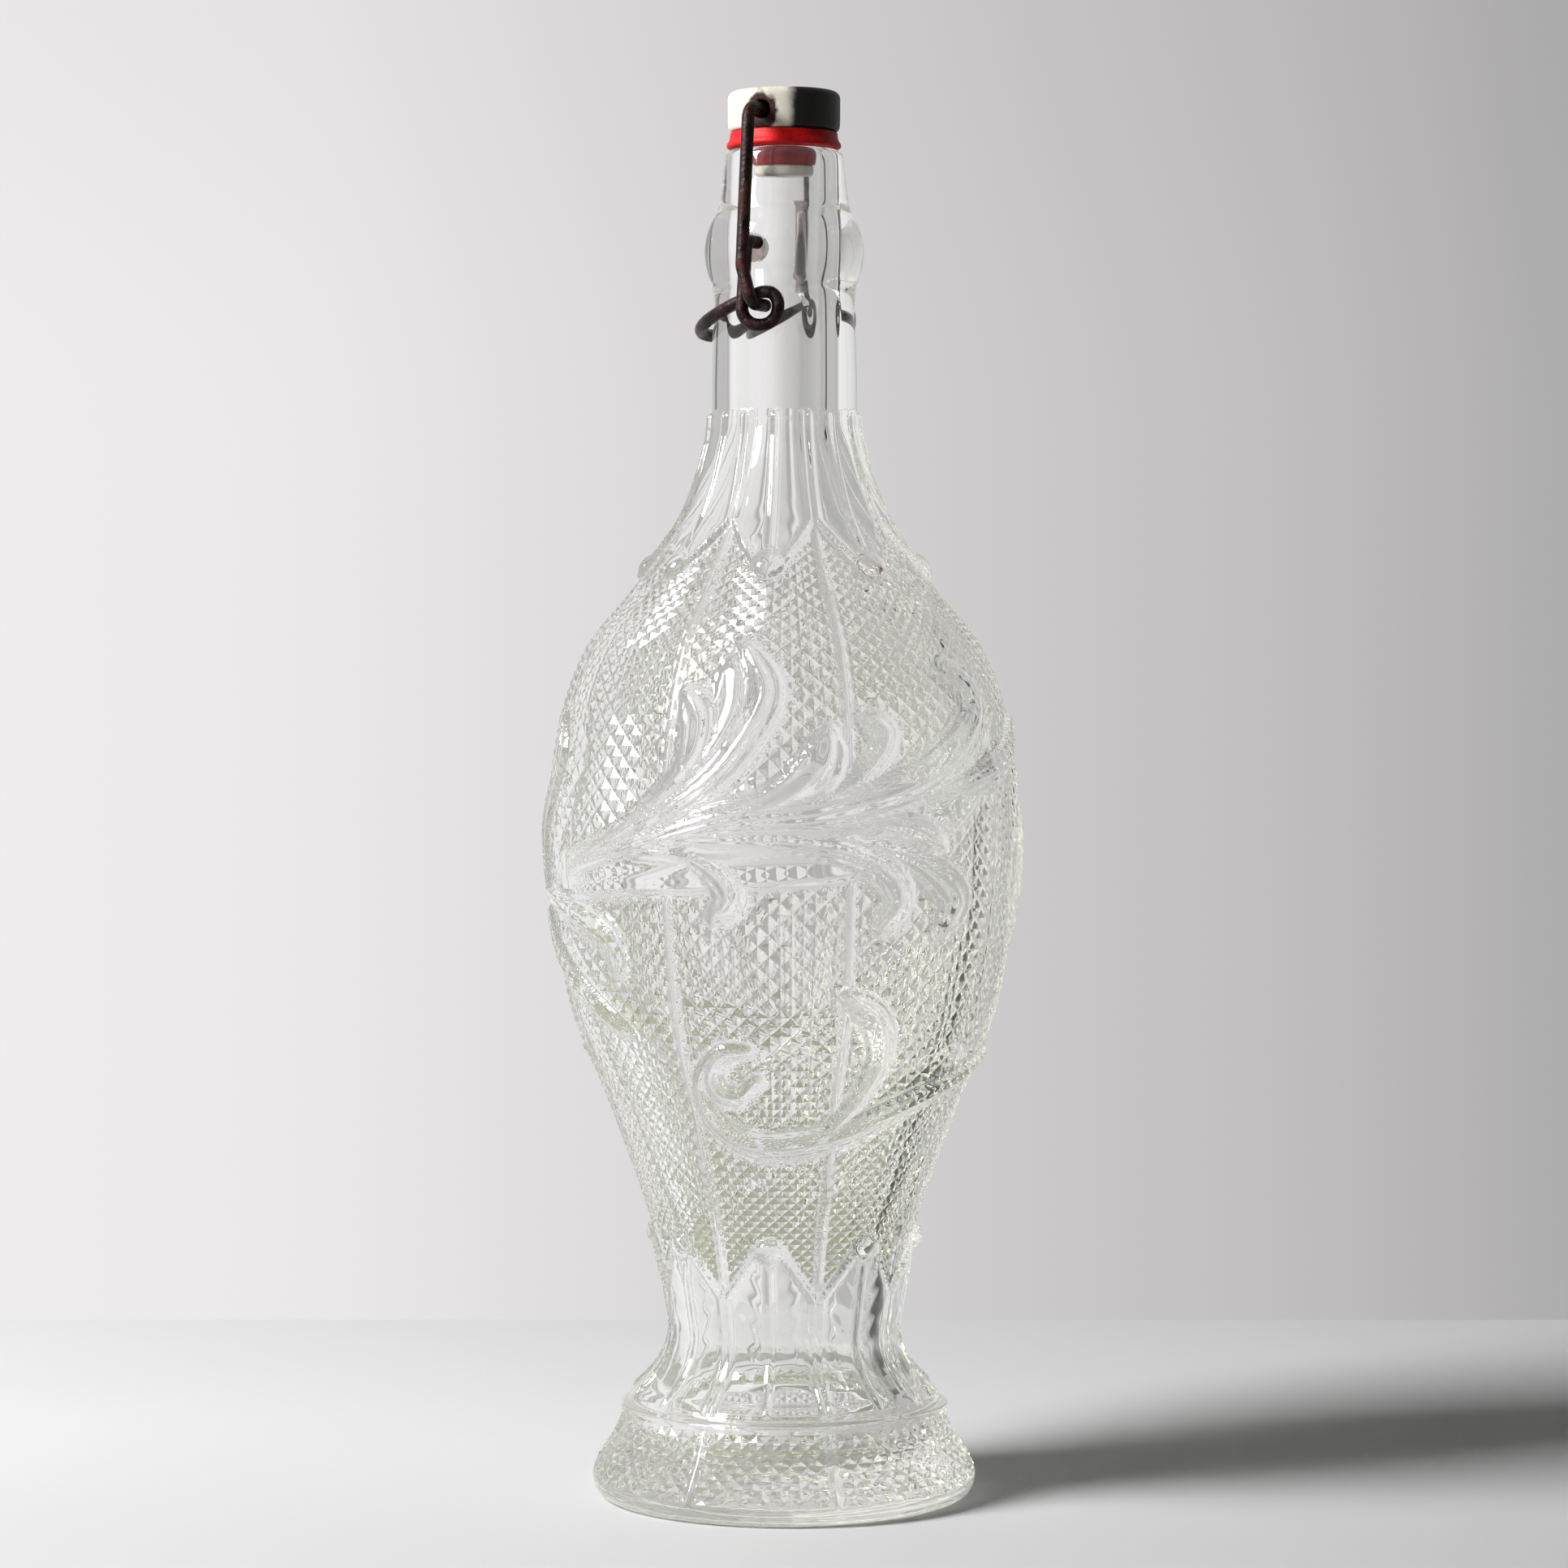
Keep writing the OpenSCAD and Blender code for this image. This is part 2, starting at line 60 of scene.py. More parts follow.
# The glass outside
BELLY_R, BELLY_Z = 52.0, 146.0
WAIST_R, WAIST_Z = 24.8, 38.0
NECK_R, NECK_Z = 16.1, 240.0
COLLAR_R, COLLAR_Z, COLLAR_BULGE = 17.6, 274.4, 15.0
LIP_R, LIP_ROUND, MOUTH_Z = 13.1, 1.8, 297.0
FOOT_R, FOOT_EDGE_Z, FOOT_FLARE = 42.5, 4.5, 14.6
LEDGE_R, LEDGE_Z = 36.0, 21.0

# The glass inside and underneath
WALL_BODY, WALL_STEM = 4.5, 5.5
BORE_R, FLOOR_Z, FLOOR_ROUND = 8.4, 8.0, 5.0
STAND_R, PUSH_UP_R, PUSH_UP_H = 36.6, 34.5, 3.0

# The sockets in the collar for the lever's ends, and the rust on the collar by the bail's far leg
SOCKET_R, SOCKET_FLOOR, COLLAR_HALF_H = 2.8, 13.8, 8.0
LEG_RUST_Z = 276.0

# The relief: eight panels, with a rib between two of them and a leaf in the middle of each
PANELS, RIB_BEARING, LEAF_BEARING = 8, 40.0, 17.5
# The columns of the grid round the glass: two make a diamond
COLUMNS = 128
# The leaves, above half way the shoulder's and below it the stem's: the height of the tip, the length of
# its arch, the heights of the root and of the curl, and where the veins fade out
HALF_WAY = 130.0
SHOULDER_TIP, SHOULDER_ARCH, SHOULDER_ROOT, SHOULDER_CURL = 202.6, 12.5, 239.6, 205.6
STEM_TIP, STEM_ARCH, STEM_ROOT, STEM_CURL = 60.2, 13.5, 21.6, 57.4
SHOULDER_VEINS, STEM_VEINS = (224.0, 208.0), (27.0, 38.0)
LEAF_RELIEF, BORDER_RELIEF, MIDRIB_RELIEF, VEIN_RELIEF = 0.5, 0.75, 0.6, 0.03
CURL_RELIEF, CURL_HALF_H, SHOULDER_CURL_HALF, STEM_CURL_HALF = 2.3, 2.7, 3.7, 3.3
SCROLL_RELIEF = 1.95
# The diamonds and the ribs: their bands on the foot and the body, and those of the fine grid for the ribs
DIAMOND_BANDS = [(4.6, 18.8), (47.0, 216.0)]
RIB_BANDS = [(4.0, 19.0), (50.0, 216.0)]
FINE_RIB_BANDS = [(4.0, 19.5), (46.0, 218.0)]
RIB_HALF, RIB_VALLEY, RIB_RELIEF, RIB_SUNK = 0.95, 1.5, 0.35, 0.25
DIAMOND_RELIEF, DIAMOND_SUNK = 0.0132, 0.85
RELIEF_TOP_Z = 250.0

# The stopper and its gasket
SEAT_GAP, GASKET_H, SLEEVE_R, SLEEVE_H = 0.4, 3.6, 7.4, 4.4
CAP_R, CAP_H, NOSE_R, NOSE_H, CORE_R = 12.4, 9.0, 6.5, 2.6, 5.2
GASKET_Z = MOUTH_Z + SEAT_GAP
CAP_Z = GASKET_Z + GASKET_H
CAP_HOLE_Z, CAP_HOLE_R = CAP_Z + 0.43 * CAP_H, 2.02

# The wires. Places seen from the side are (towards the back, height).
WIRE_R = 1.4
PIVOT = (0.0, COLLAR_Z + SOCKET_R - WIRE_R - 0.1)
EYE_R = 3.7
EYE = (3.6, PIVOT[1] - 14.7)
PIN = (EYE[0], EYE[1] + EYE_R - 2 * WIRE_R - 0.2)
LOOP_R, LOOP_REACH, LOOP_DIP = 18.0, 18.2, 7.8
LINK_TOP_Y = COLLAR_R + WIRE_R + 1.0
LINK_LOW_Y = LINK_TOP_Y + 2.3
BAIL_LOW_Y = LINK_LOW_Y + 2 * WIRE_R + 0.3
BAIL_TOP_Y = CAP_R + WIRE_R + 3.4 + 1.6


# ---- Nodes, and the sums that a look is made of ----

def both_ways(operation):
    """An operator that adds a Math node, and its reflected form."""
    def forward(self, other):
        return self.maths(operation, self, other)

    def reflected(self, other):
        return self.maths(operation, other, self)

    return forward, reflected


class Value:
    """One value in a look. Python's operators on it add Math nodes."""

    def __init__(self, nodes, socket):
        self.nodes = nodes
        self.socket = socket

    def maths(self, operation, *values):
        return self.nodes.node("ShaderNodeMath", {"operation": operation}, dict(enumerate(values)))

    __add__, __radd__ = both_ways("ADD")
    __sub__, __rsub__ = both_ways("SUBTRACT")
    __mul__, __rmul__ = both_ways("MULTIPLY")
    __truediv__, __rtruediv__ = both_ways("DIVIDE")
    __pow__, __rpow__ = both_ways("POWER")

    def __abs__(self):
        return self.maths("ABSOLUTE", self)

    def sine(self):
        return self.maths("SINE", self)

    def most(self, other):
        return self.maths("MAXIMUM", self, other)

    def between(self, low, high):
        """0 up to low, 1 from high on, and a soft rise between."""
        settings = {"interpolation_type": "SMOOTHSTEP", "clamp": True}
        values = {"Value": self, "From Min": low, "From Max": high}
        return self.nodes.node("ShaderNodeMapRange", settings, values)


class Nodes:
    """The nodes of a finish or of the world."""

    # The Mix node's sockets that a blend of colours uses, by number
    MIX_SHARE, MIX_FIRST, MIX_SECOND, MIX_RESULT = 0, 6, 7, 2

    def __init__(self, tree):
        self.tree = tree

    def node(self, kind, settings=None, values=None, output=0):
        """Adds a node, sets it, fills its sockets, and gives one of its outputs, or all of them for None."""
        node = self.tree.nodes.new(kind)
        for key, setting in (settings or {}).items():
            if key == "stops":
                self.set_stops(node.color_ramp, setting)
            else:
                setattr(node, key, setting)
        self.fill(node, values or {})
        if output is None:
            return [Value(self, socket) for socket in node.outputs]
        return Value(self, node.outputs[output])

    def set_stops(self, ramp, stops):
        while len(ramp.elements) < len(stops):
            ramp.elements.new(0.5)
        for element, (place, rgb) in zip(ramp.elements, stops):
            element.position = place
            element.color = colour(*rgb)

    def fill(self, node, values):
        """Links or sets a node's sockets, which go by name or number."""
        for key, value in values.items():
            if isinstance(value, Value):
                self.tree.links.new(value.socket, node.inputs[key])
            else:
                node.inputs[key].default_value = value

    def along(self, vector, axis):
        """How far a vector reaches along an axis."""
        values = {0: vector, 1: tuple(axis)}
        return self.node("ShaderNodeVectorMath", {"operation": "DOT_PRODUCT"}, values, "Value")

    def blend(self, share, first, second):
        """A colour between two others."""
        settings = {"data_type": "RGBA", "clamp_factor": True}
        values = {self.MIX_SHARE: share, self.MIX_FIRST: first, self.MIX_SECOND: second}
        return self.node("ShaderNodeMix", settings, values, self.MIX_RESULT)

    def ramp(self, share, stops):
        return self.node("ShaderNodeValToRGB", {"stops": stops}, {"Fac": share})

    def ray(self, kind):
        """1 for the rays of a kind, such as Camera."""
        return self.node("ShaderNodeLightPath", output=f"Is {kind} Ray")


class Finish(Nodes):
    """A material with one Principled shader."""

    def __init__(self, name):
        self.material = bpy.data.materials.new(name)
        self.material.use_nodes = True
        super().__init__(self.material.node_tree)

    def set(self, **values):
        """Sets sockets of the shader. An underscore stands for a space."""
        shader = self.tree.nodes["Principled BSDF"]
        self.fill(shader, {name.replace("_", " "): value for name, value in values.items()})

    def place(self):
        """The place in the object's own space, in metres."""
        return self.node("ShaderNodeTexCoord", output="Object")

    def apart(self, vector):
        """The three parts of a vector."""
        return self.node("ShaderNodeSeparateXYZ", values={0: vector}, output=None)

    def noise(self, scale, detail=3.0, rough=0.5, at=None):
        values = {"Vector": at or self.place(), "Scale": scale, "Detail": detail, "Roughness": rough}
        return self.node("ShaderNodeTexNoise", {"noise_dimensions": "3D"}, values)

    def attribute(self, name):
        return self.node("ShaderNodeAttribute", {"attribute_name": name}, output="Fac")

    def bump(self, height, strength, distance, base=None):
        """The surface's direction over small hills, which may stand on other hills."""
        values = {"Height": height, "Strength": strength, "Distance": distance}
        if base:
            values["Normal"] = base
        return self.node("ShaderNodeBump", {}, values)


def colour(r, g, b):
    return (r, g, b, 1.0)


BLACK = colour(0.0, 0.0, 0.0)


# ---- Finishes ----

def rust_on_glass(f, scabs):
    """Up to 0.9 in the collar's sockets, and in a worn band where the bail's far leg stands."""
    x, y, z = f.apart(f.place())
    from_socket = (x ** 2.0 + (z - COLLAR_Z * MM) ** 2.0) ** 0.5
    sockets = from_socket.between(0.0036, 0.0026) * abs(y).between(0.0125, 0.0132)
    by_leg = abs(x + (scabs - 0.5) * 0.002).between(0.0030, 0.0024)
    band = by_leg * abs(z - LEG_RUST_Z * MM).between(0.0085, 0.0078) * y.between(0.0125, 0.0132)
    return sockets.most(band * scabs.between(0.30, 0.42)) * 0.9


def pressed_glass():
    """Clear glass, faintly green where it is thick, with a slow ripple and flutes along the scrolls."""
    f = Finish("pressed glass")
    ripple = f.bump(f.noise(34.0, 2.0), 0.12, 0.0006)
    flutes = (f.attribute("flute") * 10.0).sine() * f.attribute("flute_share")
    scabs = f.noise(420.0, 4.0, 0.6)
    rust = rust_on_glass(f, scabs)
    brown = f.ramp(scabs, [
        (0.35, (0.012, 0.006, 0.004)), (0.5, (0.16, 0.075, 0.045)), (0.62, (0.36, 0.20, 0.13)),
    ])
    f.set(
        Base_Color=f.blend(rust, colour(0.997, 0.998, 0.992), brown), Roughness=rust * 0.6, IOR=1.5,
        Transmission_Weight=1.0, Normal=f.bump(flutes, 0.28, 0.0004, ripple),
    )
    tint = f.node("ShaderNodeVolumeAbsorption", {}, {"Color": colour(0.90, 0.905, 0.85), "Density": 4.0})
    f.fill(f.tree.nodes["Material Output"], {"Volume": tint})
    return f.material


def painted_shade_on_cap(f, uneven):
    """Painted shade: 1 on the cap's wall for a bit more than a quarter turn, on the side away from the
    window, with soft uneven edges.
    """
    x, y, _ = f.apart(f.place())
    reach = (x ** 2.0 + y ** 2.0) ** 0.5
    start, end = radians(32.0), radians(132.0)
    past_start = (x * cos(start) + y * sin(start)) / reach + uneven
    before_end = (x * -cos(end) - y * sin(end)) / reach + uneven
    wall = (reach + uneven * 0.004).between((CAP_R - 1.9) * MM, (CAP_R - 0.7) * MM)
    return past_start.between(-0.10, 0.10) * before_end.between(-0.2, 0.35) * wall


def stained_porcelain():
    """Cream glazed porcelain, stained by rust round the wire's hole and below it, darkened there by painted
    shade of the hole, and with painted shade down the side away from the window.
    """
    f = Finish("stained porcelain")
    x, _, z = f.apart(f.place())
    cloud = f.noise(260.0, 4.0, 0.6)
    grime = f.noise(900.0, 3.0, 0.65)
    # Rust round the wire's hole and a drip below it, with the dark ring widened and drawn down as painted
    # shade of the hole
    over_hole = z - CAP_HOLE_Z * MM + 0.0005
    from_hole = (x ** 2.0 + (over_hole * 0.84) ** 2.0) ** 0.5
    ring = (from_hole + (cloud - 0.5) * 0.003).between(0.0040, 0.0031)
    drip = abs(x + (cloud - 0.5) * 0.003).between(0.0026, 0.0006) * over_hole.between(0.0, -0.002) * 0.7
    rust_and_hole_shade = ring.most(drip * cloud.between(0.35, 0.6))
    # Painted shade: the cap's side away from the window is darkened nearly to black
    painted_shade = painted_shade_on_cap(f, (cloud - 0.5) * 0.25)
    cream = f.ramp(cloud, [(0.3, (0.60, 0.56, 0.46)), (0.7, (0.72, 0.70, 0.61))])
    dirty = f.blend(grime.between(0.62, 0.78) * 0.5, cream, colour(0.36, 0.30, 0.21))
    rust = f.ramp(grime, [
        (0.3, (0.010, 0.004, 0.002)), (0.6, (0.035, 0.009, 0.004)), (0.75, (0.20, 0.06, 0.02)),
    ])
    f.set(
        Base_Color=f.blend(painted_shade, f.blend(rust_and_hole_shade, dirty, rust), colour(0.006, 0.005, 0.004)),
        Roughness=0.2 + rust_and_hole_shade * 0.5 + painted_shade * 0.25 + grime.between(0.6, 0.8) * 0.2,
        IOR=1.52, Specular_IOR_Level=0.25, Normal=f.bump(cloud + rust_and_hole_shade * grime, 0.25, 0.0003),
    )
    return f.material


def red_rubber():
    """Red rubber, a little chalky in patches, with painted shade that makes it a deeper red below the mouth,
    inside the neck.
    """
    f = Finish("red rubber")
    cloud = f.noise(420.0, 4.0, 0.6)
    grain = f.noise(2600.0, 2.0)
    z = f.apart(f.place())[2]
    red = f.ramp(cloud, [
        (0.3, (0.42, 0.002, 0.002)), (0.62, (0.72, 0.003, 0.004)), (0.85, (0.80, 0.02, 0.015)),
    ])
    # Painted shade: the sleeve inside the neck is a deeper red
    painted_shade_red = f.ramp(cloud, [
        (0.3, (0.18, 0.001, 0.002)), (0.6, (0.38, 0.002, 0.004)), (0.8, (0.50, 0.006, 0.01)),
    ])
    f.set(
        Base_Color=f.blend((z - MOUTH_Z * MM).between(0.0004, -0.0008), red, painted_shade_red),
        Roughness=0.42 + cloud * 0.2, Specular_IOR_Level=0.3,
        Normal=f.bump(grain + cloud * 2.0, 0.3, 0.0002),
    )
    return f.material


def rusty_wire(name, shift):
    """Steel wire gone brown, with dark scale, redder rust in patches and bare steel where it rubs."""
    f = Finish(name)
    at = f.node("ShaderNodeVectorMath", {"operation": "ADD"}, {0: f.place(), 1: (shift, 0.0, 0.0)})
    patch = f.noise(240.0, 5.0, 0.6, at)
    pits = f.noise(1400.0, 4.0, 0.65, at)
    scale = f.node("ShaderNodeTexVoronoi", {"feature": "F1"}, {"Vector": at, "Scale": 1100.0})
    rust = f.ramp(patch, [
        (0.30, (0.003, 0.001, 0.001)), (0.47, (0.010, 0.002, 0.002)), (0.60, (0.030, 0.005, 0.003)),
        (0.78, (0.10, 0.020, 0.008)),
    ])
    f.set(
        Base_Color=f.blend(pits.between(0.5, 0.7) * 0.6, rust, colour(0.008, 0.003, 0.003)),
        Metallic=0.2 + patch.between(0.55, 0.4) * 0.3, Specular_IOR_Level=0.25,
        Roughness=0.34 + patch.between(0.45, 0.65) * 0.35,
        Normal=f.bump(pits + scale * 0.7, 0.55, 0.00025, f.bump(patch, 0.5, 0.0006)),
    )
    return f.material


def pale_floor():
    """A plain pale floor, with painted shade that dims it a little towards the front and the right, where
    the window's light falls off.
    """
    f = Finish("pale floor")
    place = f.place()
    front = f.along(place, TOWARD).between(-0.10, 0.10)
    right = f.along(place, ASIDE).between(-0.05, 0.35)
    tone = f.ramp(f.noise(3.0, 4.0), [(0.3, (0.76, 0.765, 0.775)), (0.7, (0.80, 0.80, 0.80))])
    # Painted light: seen through the glass, the floor right round the bottle glows, standing in for the
    # light that the glass lets down into its shadow
    middle = {0: place, 1: tuple(ASIDE * 0.015)}
    away = f.node("ShaderNodeVectorMath", {"operation": "DISTANCE"}, middle, "Value")
    painted_light_through_glass = f.ray("Transmission") * away.between(0.080, 0.045)
    f.set(
        # Painted shade: the floor's colour darkens towards the front and the right, as the window's light
        # falls off
        Base_Color=f.blend(front * 0.16 + right * 0.12, tone, BLACK), Roughness=0.6,
        Emission_Color=f.blend(painted_light_through_glass, BLACK, colour(0.11, 0.11, 0.10)), Emission_Strength=1.0,
    )
    return f.material


# ---- Objects and meshes ----

def add(name, data):
    """A new object in the scene."""
    obj = bpy.data.objects.new(name, data)
    bpy.context.scene.collection.objects.link(obj)
    return obj


def add_mesh(name, verts, faces):
    """A new object with a mesh of points in metres."""
    mesh = bpy.data.meshes.new(name)
    mesh.from_pydata(verts, [], faces)
    return add(name, mesh)


def piece(name, verts, faces, finish, body):
    """A smooth mesh from millimetres, which rides on a body."""
    obj = add_mesh(name, [tuple(float(c) * MM for c in v) for v in verts], faces)
    obj.data.validate()
    obj.data.polygons.foreach_set("use_smooth", [True] * len(obj.data.polygons))
    obj.data.materials.append(finish)
    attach(obj, body)
    return obj


def tighten(obj):
    """Makes the faces of a closed mesh point outward."""
    work = bmesh.new()
    work.from_mesh(obj.data)
    bmesh.ops.recalc_face_normals(work, faces=work.faces)
    work.to_mesh(obj.data)
    work.free()


def apply_modifiers(obj):
    deps = bpy.context.evaluated_depsgraph_get()
    mesh = bpy.data.meshes.new_from_object(obj.evaluated_get(deps))
    obj.modifiers.clear()
    obj.data = mesh


def arc(r, z, radius, angles):
    """Points of (radius, height) round a centre, at angles up from the way outward."""
    return [(r + radius * cos(radians(a)), z + radius * sin(radians(a))) for a in angles]


def turned(profile, around):
    """Points and faces of a profile of (radius, height) turned about +Z. Its ends lie on the axis."""
    verts, rings = [], []
    for r, z in profile:
        count = 1 if r == 0 else around
        rings.append([len(verts) + i for i in range(count)])
        verts += [(r * cos(2 * pi * i / around), r * sin(2 * pi * i / around), z) for i in range(count)]
    faces = []
    for a, b in zip(rings, rings[1:]):
        for i in range(around):
            j = (i + 1) % around
            face = list(dict.fromkeys([a[i % len(a)], a[j % len(a)], b[j % len(b)], b[i % len(b)]]))
            if len(face) > 2:
                faces.append(face)
    return verts, faces


def smoothstep(x, low, high):
    t = np.clip((x - low) / (high - low), 0.0, 1.0)
    return t * t * (3 - 2 * t)


# ---- The glass: its outline ----

# Knots of the body's outline, as shares of the way up and out to the belly, and on up to the neck
LOWER = [(0, 0), (0.19, 0.147), (0.45, 0.507), (0.67, 0.842)]
UPPER = [(0, 0), (0.255, 0.058), (0.447, 0.234), (0.574, 0.501), (0.745, 0.819), (0.915, 0.975), (1, 1)]
BODY_KNOTS = np.array(
    [(WAIST_Z + (BELLY_Z - WAIST_Z) * a, WAIST_R + (BELLY_R - WAIST_R) * b) for a, b in LOWER]
    + [(BELLY_Z + (NECK_Z - BELLY_Z) * a, BELLY_R + (NECK_R - BELLY_R) * b) for a, b in UPPER]
    + [(NECK_Z + 14, NECK_R)]
)


def body_r(z):
    """The radius of the glass at a height between the ledge and the neck, without its relief."""
    z = np.asarray(z, float)
    knots_z, knots_r = BODY_KNOTS.T
    last = len(BODY_KNOTS) - 1
    before = np.maximum(np.arange(last + 1) - 1, 0)
    after = np.minimum(np.arange(last + 1) + 1, last)
    slopes = (knots_r[after] - knots_r[before]) / (knots_z[after] - knots_z[before])
    i = np.clip(np.searchsorted(knots_z, z, side="right") - 1, 0, last - 1)
    span = knots_z[i + 1] - knots_z[i]
    t = (z - knots_z[i]) / span
    start = (2 * t**3 - 3 * t**2 + 1) * knots_r[i] + (t**3 - 2 * t**2 + t) * span * slopes[i]
    end = (3 * t**2 - 2 * t**3) * knots_r[i + 1] + (t**3 - t**2) * span * slopes[i + 1]
    stem = WAIST_R + (LEDGE_R - WAIST_R) * np.clip((WAIST_Z - z) / (WAIST_Z - LEDGE_Z), 0, 1) ** 2.2
    return np.where(z < WAIST_Z, stem, start + end)


def foot_line():
    """The outline from the ring that the bottle stands on to the ledge on top of the foot."""
    edge_r, edge_round = 39.5, 3
    line = [(38.7, 0.0)]
    for a in range(-80, 1, 16):
        line.append((edge_r + edge_round * cos(radians(a)), FOOT_EDGE_Z * (1 + sin(radians(a)))))
    for t in np.linspace(0.08, 1, 12):
        wave = 0.9 * sin(2 * pi * t) * (1 - t)
        line.append((FOOT_R - (FOOT_R - LEDGE_R + 0.5) * t + wave, FOOT_EDGE_Z + FOOT_FLARE * t))
    return line + arc(LEDGE_R - 0.5, LEDGE_Z - 1, 0.9, (-30, 0, 30, 60, 85)) + [(34.7, 21.2)]


def neck_line():
    """The outline from the neck over the round collar and the hollow above it to the lip's top."""
    line = [(NECK_R, 246.0), (15.85, 255.0), (15.45, 262.5), (15.6, 265.0)]
    line += arc(COLLAR_R - COLLAR_BULGE, COLLAR_Z, COLLAR_BULGE, np.linspace(-26, 33, 14))
    line += [(14.85, 283.1), (14.6, 283.8), (14.4, 284.6), (14.22, 285.6), (14.0, 287.2), (13.7, 289.6)]
    line += [(13.4, 292.4), (LIP_R, MOUTH_Z - LIP_ROUND)]
    return line + arc(LIP_R - LIP_ROUND, MOUTH_Z - LIP_ROUND, LIP_ROUND, range(15, 91, 15))


def outer_line():
    body = [(float(body_r(z)), z) for z in np.linspace(22.6, NECK_Z, 110)]
    return np.array(foot_line() + body + neck_line())


def inner_line():
    """The outline from the lip down the bore and round the inside to the middle of the floor."""
    line = [(BORE_R + 0.7, MOUTH_Z), (BORE_R + 0.25, MOUTH_Z - 0.25), (BORE_R, MOUTH_Z - 0.8)]
    line += [(BORE_R, z) for z in np.linspace(MOUTH_Z - 4, NECK_Z + 3, 12)]
    for z in np.linspace(NECK_Z, WAIST_Z + 1, 50):
        if z < BELLY_Z:
            wall = WALL_STEM + (WALL_BODY - WALL_STEM) * float(smoothstep(z, WAIST_Z, BELLY_Z))
        else:
            wall = WALL_BODY + (NECK_R - BORE_R - WALL_BODY) * float(smoothstep(z, NECK_Z - 44, NECK_Z))
        line.append((float(body_r(z)) - wall, z))
    stem_r, foot_r, floor_top = WAIST_R - WALL_STEM, 29.0, FLOOR_Z + FLOOR_ROUND
    for z in np.linspace(WAIST_Z - 2, floor_top, 10):
        line.append((stem_r + (foot_r - stem_r) * ((WAIST_Z - z) / (WAIST_Z - floor_top)) ** 1.8, z))
    line += arc(foot_r - FLOOR_ROUND, floor_top, FLOOR_ROUND, range(-15, -91, -15))
    return line + [(r, FLOOR_Z) for r in (16.0, 8.0, 0.0)]


# ---- The glass: its relief, as a height over the outline at a bearing and a height ----

class Sweep(NamedTuple):
    """One stroke of the acanthus scroll: half its width, and its middle line of (bearing, height)."""

    half_width: float
    line: list
    # Shares of the scroll's full relief and fluting
    lift: float = 1.0
    flutes: float = 1.0
    # The higher, the further along it swells
    late: float = 1.3


SWEEPS = [
    # The trunk, and what rises from it
    Sweep(4.4, [(-37, 140), (-8, 147), (12, 151.5), (30, 153), (46, 156), (59, 160), (72, 167), (80, 174),
                (80, 180), (74, 183)]),
    Sweep(4.6, [(-36, 140), (-10, 151), (6, 160), (15, 170), (19, 179), (14, 187)], late=1.9),
    Sweep(5.0, [(-14, 150), (0, 159), (8, 168), (12, 176), (11, 184)], lift=0.8, flutes=0.15, late=2.4),
    Sweep(4.4, [(-12, 150), (-4, 158), (2, 165), (3, 173), (-1, 178)], lift=0.9, flutes=0.15, late=2.4),
    Sweep(5.0, [(0, 149), (14, 152.5), (26, 157), (33, 163), (35, 169.5)], lift=0.85, flutes=0.1, late=2.0),
    Sweep(10.4, [(-42, 138), (-18, 142), (3, 145), (20, 147.5), (37, 149), (56, 152), (74, 159)], lift=0.6,
          flutes=0.1),
    Sweep(3.2, [(30, 155), (40, 159), (47, 165), (49, 170), (45, 173)], lift=0.9, flutes=0.2, late=2.2),
    Sweep(3.4, [(60, 156), (78, 160), (93, 164), (104, 172)]),
    # The leaves that droop from it
    Sweep(4.0, [(-8, 147), (12, 147.5), (27, 147), (42, 144), (50, 139), (52, 134), (48, 129)], flutes=0.5,
          late=1.8),
    Sweep(4.8, [(38, 148), (54, 144), (64, 139), (69, 134), (66, 128)], flutes=0.3, late=2.0),
    Sweep(3.4, [(42, 151), (54, 150), (64, 146)], lift=0.9, flutes=0.2, late=2.0),
    Sweep(3.4, [(-15, 145), (0, 144), (8, 140), (11, 135), (7, 131)], lift=0.8, flutes=0.2, late=1.8),
    # The leaves at its root
    Sweep(3.2, [(-62, 134), (-42, 131), (-26, 126), (-22, 119)]),
    Sweep(3.4, [(-62, 130), (-52, 121), (-38, 113), (-23, 106)]),
    Sweep(3.0, [(-64, 133), (-60, 146), (-51, 156), (-46, 165), (-49, 173)]),
    # The lower scroll: its curl, its stem and the leaf on the stem
    Sweep(2.6, [(16, 96), (11, 92.5), (5, 93), (3, 97), (7, 101.5), (14, 102.5)], flutes=0.2),
    Sweep(3.0, [(10, 102.5), (1, 98), (-1, 91), (4, 85), (14, 81.5), (27, 81.5), (44, 84), (62, 89),
                (84, 94), (108, 99)], flutes=0.5),
    Sweep(3.6, [(38, 84), (47, 92), (51, 101), (48, 109), (40, 114)], flutes=0.4, late=1.9),
]


def turn(bearing, centre):
    """Degrees from one bearing to another, from -180 to 180."""
    return (bearing - centre + 180.0) % 360.0 - 180.0


def catmull(points, count):
    """A smooth line through the points, evenly sampled in its parameter."""
    p = np.array(points, float)
    out = []
    for s in np.linspace(0, len(p) - 1 - 1e-9, count):
        i = int(s)
        f = s - i
        a, b, c, d = p[max(i - 1, 0)], p[i], p[i + 1], p[min(i + 2, len(p) - 1)]
        bend = (2 * a - 5 * b + 4 * c - d) * f**2 + (3 * b - a - 3 * c + d) * f**3
        out.append(0.5 * (2 * b + (c - a) * f + bend))
    return np.array(out)


